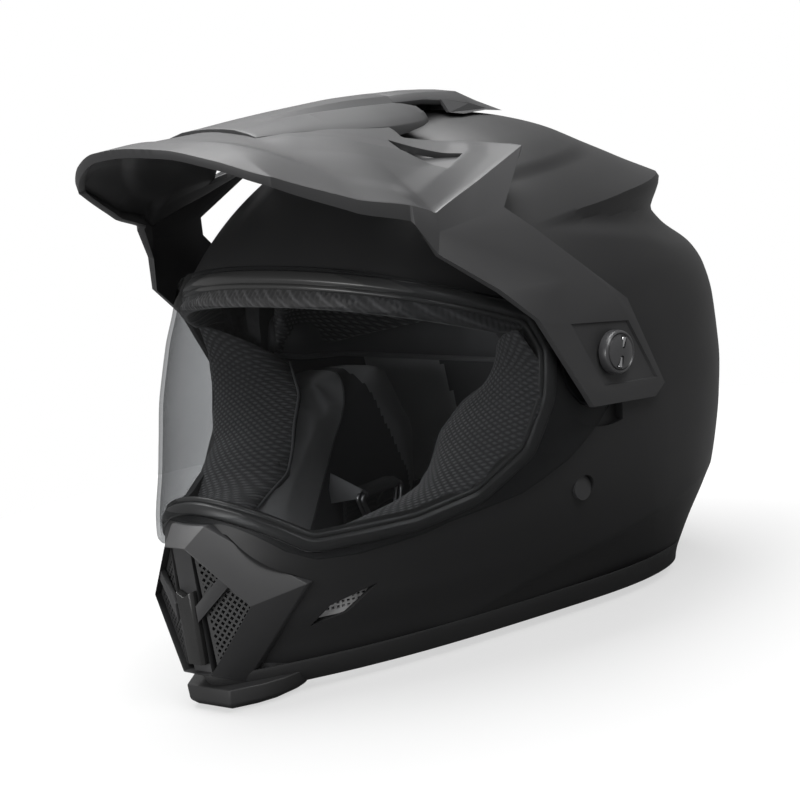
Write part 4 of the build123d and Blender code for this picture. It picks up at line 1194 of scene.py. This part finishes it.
# Knit front faces of the cheek pads, from the seam to the gasket
OUTER_RAIL = [
    (58, -110, 75), (80, -82, 78), (94, -64, 86), (107, -41, 96), (117, -27, 118), (118, -24, 138),
    (113, -32, 157),
]
INNER_RAIL = [
    (42, -76, 72), (47, -56, 78), (49, -44, 82), (50.5, -37, 92), (52.5, -31, 104), (59, -18, 117),
    (78, -4, 130),
]
rows, cols = 70, 31
outer_rail, inner_rail = (blur_line(resample(rail, rows), 4) for rail in (OUTER_RAIL, INNER_RAIL))
front_side, back_side = [], []
for a, b in zip(outer_rail, inner_rail):
    out = unit(np.cross(a - b, (0.35, 0.25, 1.0)))
    out = out if out[1] < 0 else -out
    for t in np.arange(cols) / (cols - 1):
        rise = 7.0 * (4 * t * (1 - t)) ** 0.8
        front_side.append(b + (a - b) * t + out * rise)
        back_side.append(front_side[-1] - out * (2.0 + rise * 0.4))
for name, side in SIDES:
    sides = [np.array(places) * (side, 1, 1) for places in (front_side, back_side)]
    mesh = two_sided(*sides, rows, cols)
    face_pad = piece(f"cheek_front_{name}", *mesh, "helmet", "lining_knit", KNIT)
    tube(f"cheek_front_piping_{name}", sides[0][::cols], 0.9, "lining_suede", SMOOTH_CLOTH)

# Chin straps: woven ribbons, the right one looped round the rings
STRAP = [(100.4, 82.0), (100.4, 63.0), (91.5, 45.0), (80.0, 25.0), (70.5, 9.5)]
LEFT_END = [(46.0, 6.2), (16.2, 6.2)]
RIGHT_END = [
    (54.0, 7.5), (46.5, 50.0), (43.0, 63.0), (37.0, 64.9), (29.0, 65.2), (24.9, 63.0), (29.0, 60.9),
    (40.0, 61.2),
]
WOVEN = both_sides([(-12.4, 0.2), (-12.0, 0.5), (-10.9, 0.5), (-10.6, 0.36)])
WOVEN += [(y, -t) for y, t in reversed(WOVEN)]


def ribbon(name, side, route, thick, replaced):
    """Flat woven strap along a route in the front view, with a sewn edge on each side."""
    path = resample(np.array(rounded(route, 3.2, closed=False)), 130)
    tangent = unit(np.gradient(path, axis=0))
    normal = np.stack([-tangent[:, 1], tangent[:, 0]], -1)
    rings = [
        [(side * (x + u * t * thick), -1 + y, z + w * t * thick) for y, t in WOVEN]
        for (x, z), (u, w) in zip(path, normal)
    ]
    strap = piece(name, *capped(rings), "helmet", "strap_webbing", WEBBING, replaced)
    return sharp_by_angle(strap, 50)


ribbon("strap_ribbon_left", 1, STRAP + LEFT_END, 2.0, ("chin_strap_left",))
ribbon("strap_ribbon_right", -1, STRAP + RIGHT_END, 1.5, ("chin_strap_right",))
tag = [(-50.0, -14.2, 73.5), (-28.0, -14.2, 66.0), (-33.5, -14.2, 60.5), (-56.0, -14.2, 56.5)]
label = plate("sewn_label", tag, (0, 0.5, 0), "helmet", "lining_knit", LABEL)

# CAD nodes that stay, with their materials
STAY = {"crown_foam_liner": FOAM, "chin_foam_liner": FOAM, "d_ring_inner": STEEL, "d_ring_outer": STEEL}
PAIRS = {
    "chin_vent_mesh": TRIM, "side_vent_mesh": PALE_MESH_PAINTED_LIGHT, "shield_base_plate": TRIM, "pivot_nut": STEEL,
    "pivot_screw": STEEL, "strap_rivet": BLACK_METAL, "strap_anchor": STEEL,
}
for stem, mat in PAIRS.items():
    for name, _ in SIDES:
        STAY[f"{stem}_{name}"] = mat
for name, mat in STAY.items():
    nodes[name].data.materials.clear()
    nodes[name].data.materials.append(mat)

# Floor, light and camera

FLOOR_RADIUS, FLOOR_GLOW = 460, 0.6
disc = disc_places((0, 0), FLOOR_RADIUS, 96)
floor = new_object("floor", [(x, y, 0) for x, y in disc], [range(len(disc))])
FLOOR, tree, shader = new_material("pale_floor")
seen = node(tree, "LightPath").outputs["Is Camera Ray"]
glow = node(tree, "Math", {1: FLOOR_GLOW}, {0: seen}, operation="MULTIPLY").outputs["Value"]
greys = {"A": (0.15, 0.15, 0.15, 1), "B": (0.2, 0.2, 0.2, 1)}
pale = node(tree, "Mix", greys, {"Factor": seen}, data_type="RGBA").outputs["Result"]
values = {"Roughness": 1.0, "Specular IOR Level": 0.0, "Emission Color": (1, 1, 1, 1)}
feed(tree, shader, values, {"Emission Strength": glow, "Base Color": pale})
floor.data.materials.append(FLOOR)

world = bpy.data.worlds.new("studio")
bpy.context.scene.world = world
world.use_nodes = True
tree = world.node_tree
path = node(tree, "LightPath").outputs
ways = {0: path["Is Camera Ray"], 1: path["Is Transmission Ray"]}
seen = node(tree, "Math", (), ways, operation="MAXIMUM").outputs["Value"]
power = node(tree, "MapRange", {"To Min": 0.3, "To Max": 1.0}, {"Value": seen}).outputs["Result"]
feed(tree, tree.nodes["Background"], {"Color": (1, 1, 1, 1)}, {"Strength": power})


def lamp(name, place, target, size, watts):
    """Soft rectangular lamp that points at a target."""
    data = bpy.data.lights.new(name, "AREA")
    data.shape = "RECTANGLE"
    data.size, data.size_y = size
    data.energy = watts
    obj = link(bpy.data.objects.new(name, data))
    obj.location = place
    obj.rotation_euler = (Vector(target) - Vector(place)).to_track_quat("-Z", "Y").to_euler()


lamp("overhead", (-0.35, 0.1, 1.3), (0, 0, 0.15), (1.2, 1.2), 44)
lamp("side_fill", (1.1, -0.25, 1.3), (0, 0, 0.15), (0.8, 0.8), 15)
lamp("front_fill", (-0.1, -1.6, 0.35), (0, 0, 0.1), (0.9, 0.6), 16)

camera_data = bpy.data.cameras.new("camera")
camera = link(bpy.data.objects.new("camera", camera_data))
camera_data.sensor_width = 36
camera_data.lens = 36 * 2758 / 800
eye = (0.989007, -0.953922, 0.393980)
right = Vector((0.70710678, 0.68898368, -0.15906442))
up = Vector((-0.03084356, 0.25479, 0.96650439))
back = Vector((0.70643377, -0.67851569, 0.20141445))
camera.matrix_world = Matrix((
    (right.x, up.x, back.x, eye[0]), (right.y, up.y, back.y, eye[1]),
    (right.z, up.z, back.z, eye[2]), (0, 0, 0, 1),
))
camera_data.clip_end = 50
bpy.context.scene.camera = camera
bpy.context.scene.view_settings.view_transform = "Standard"
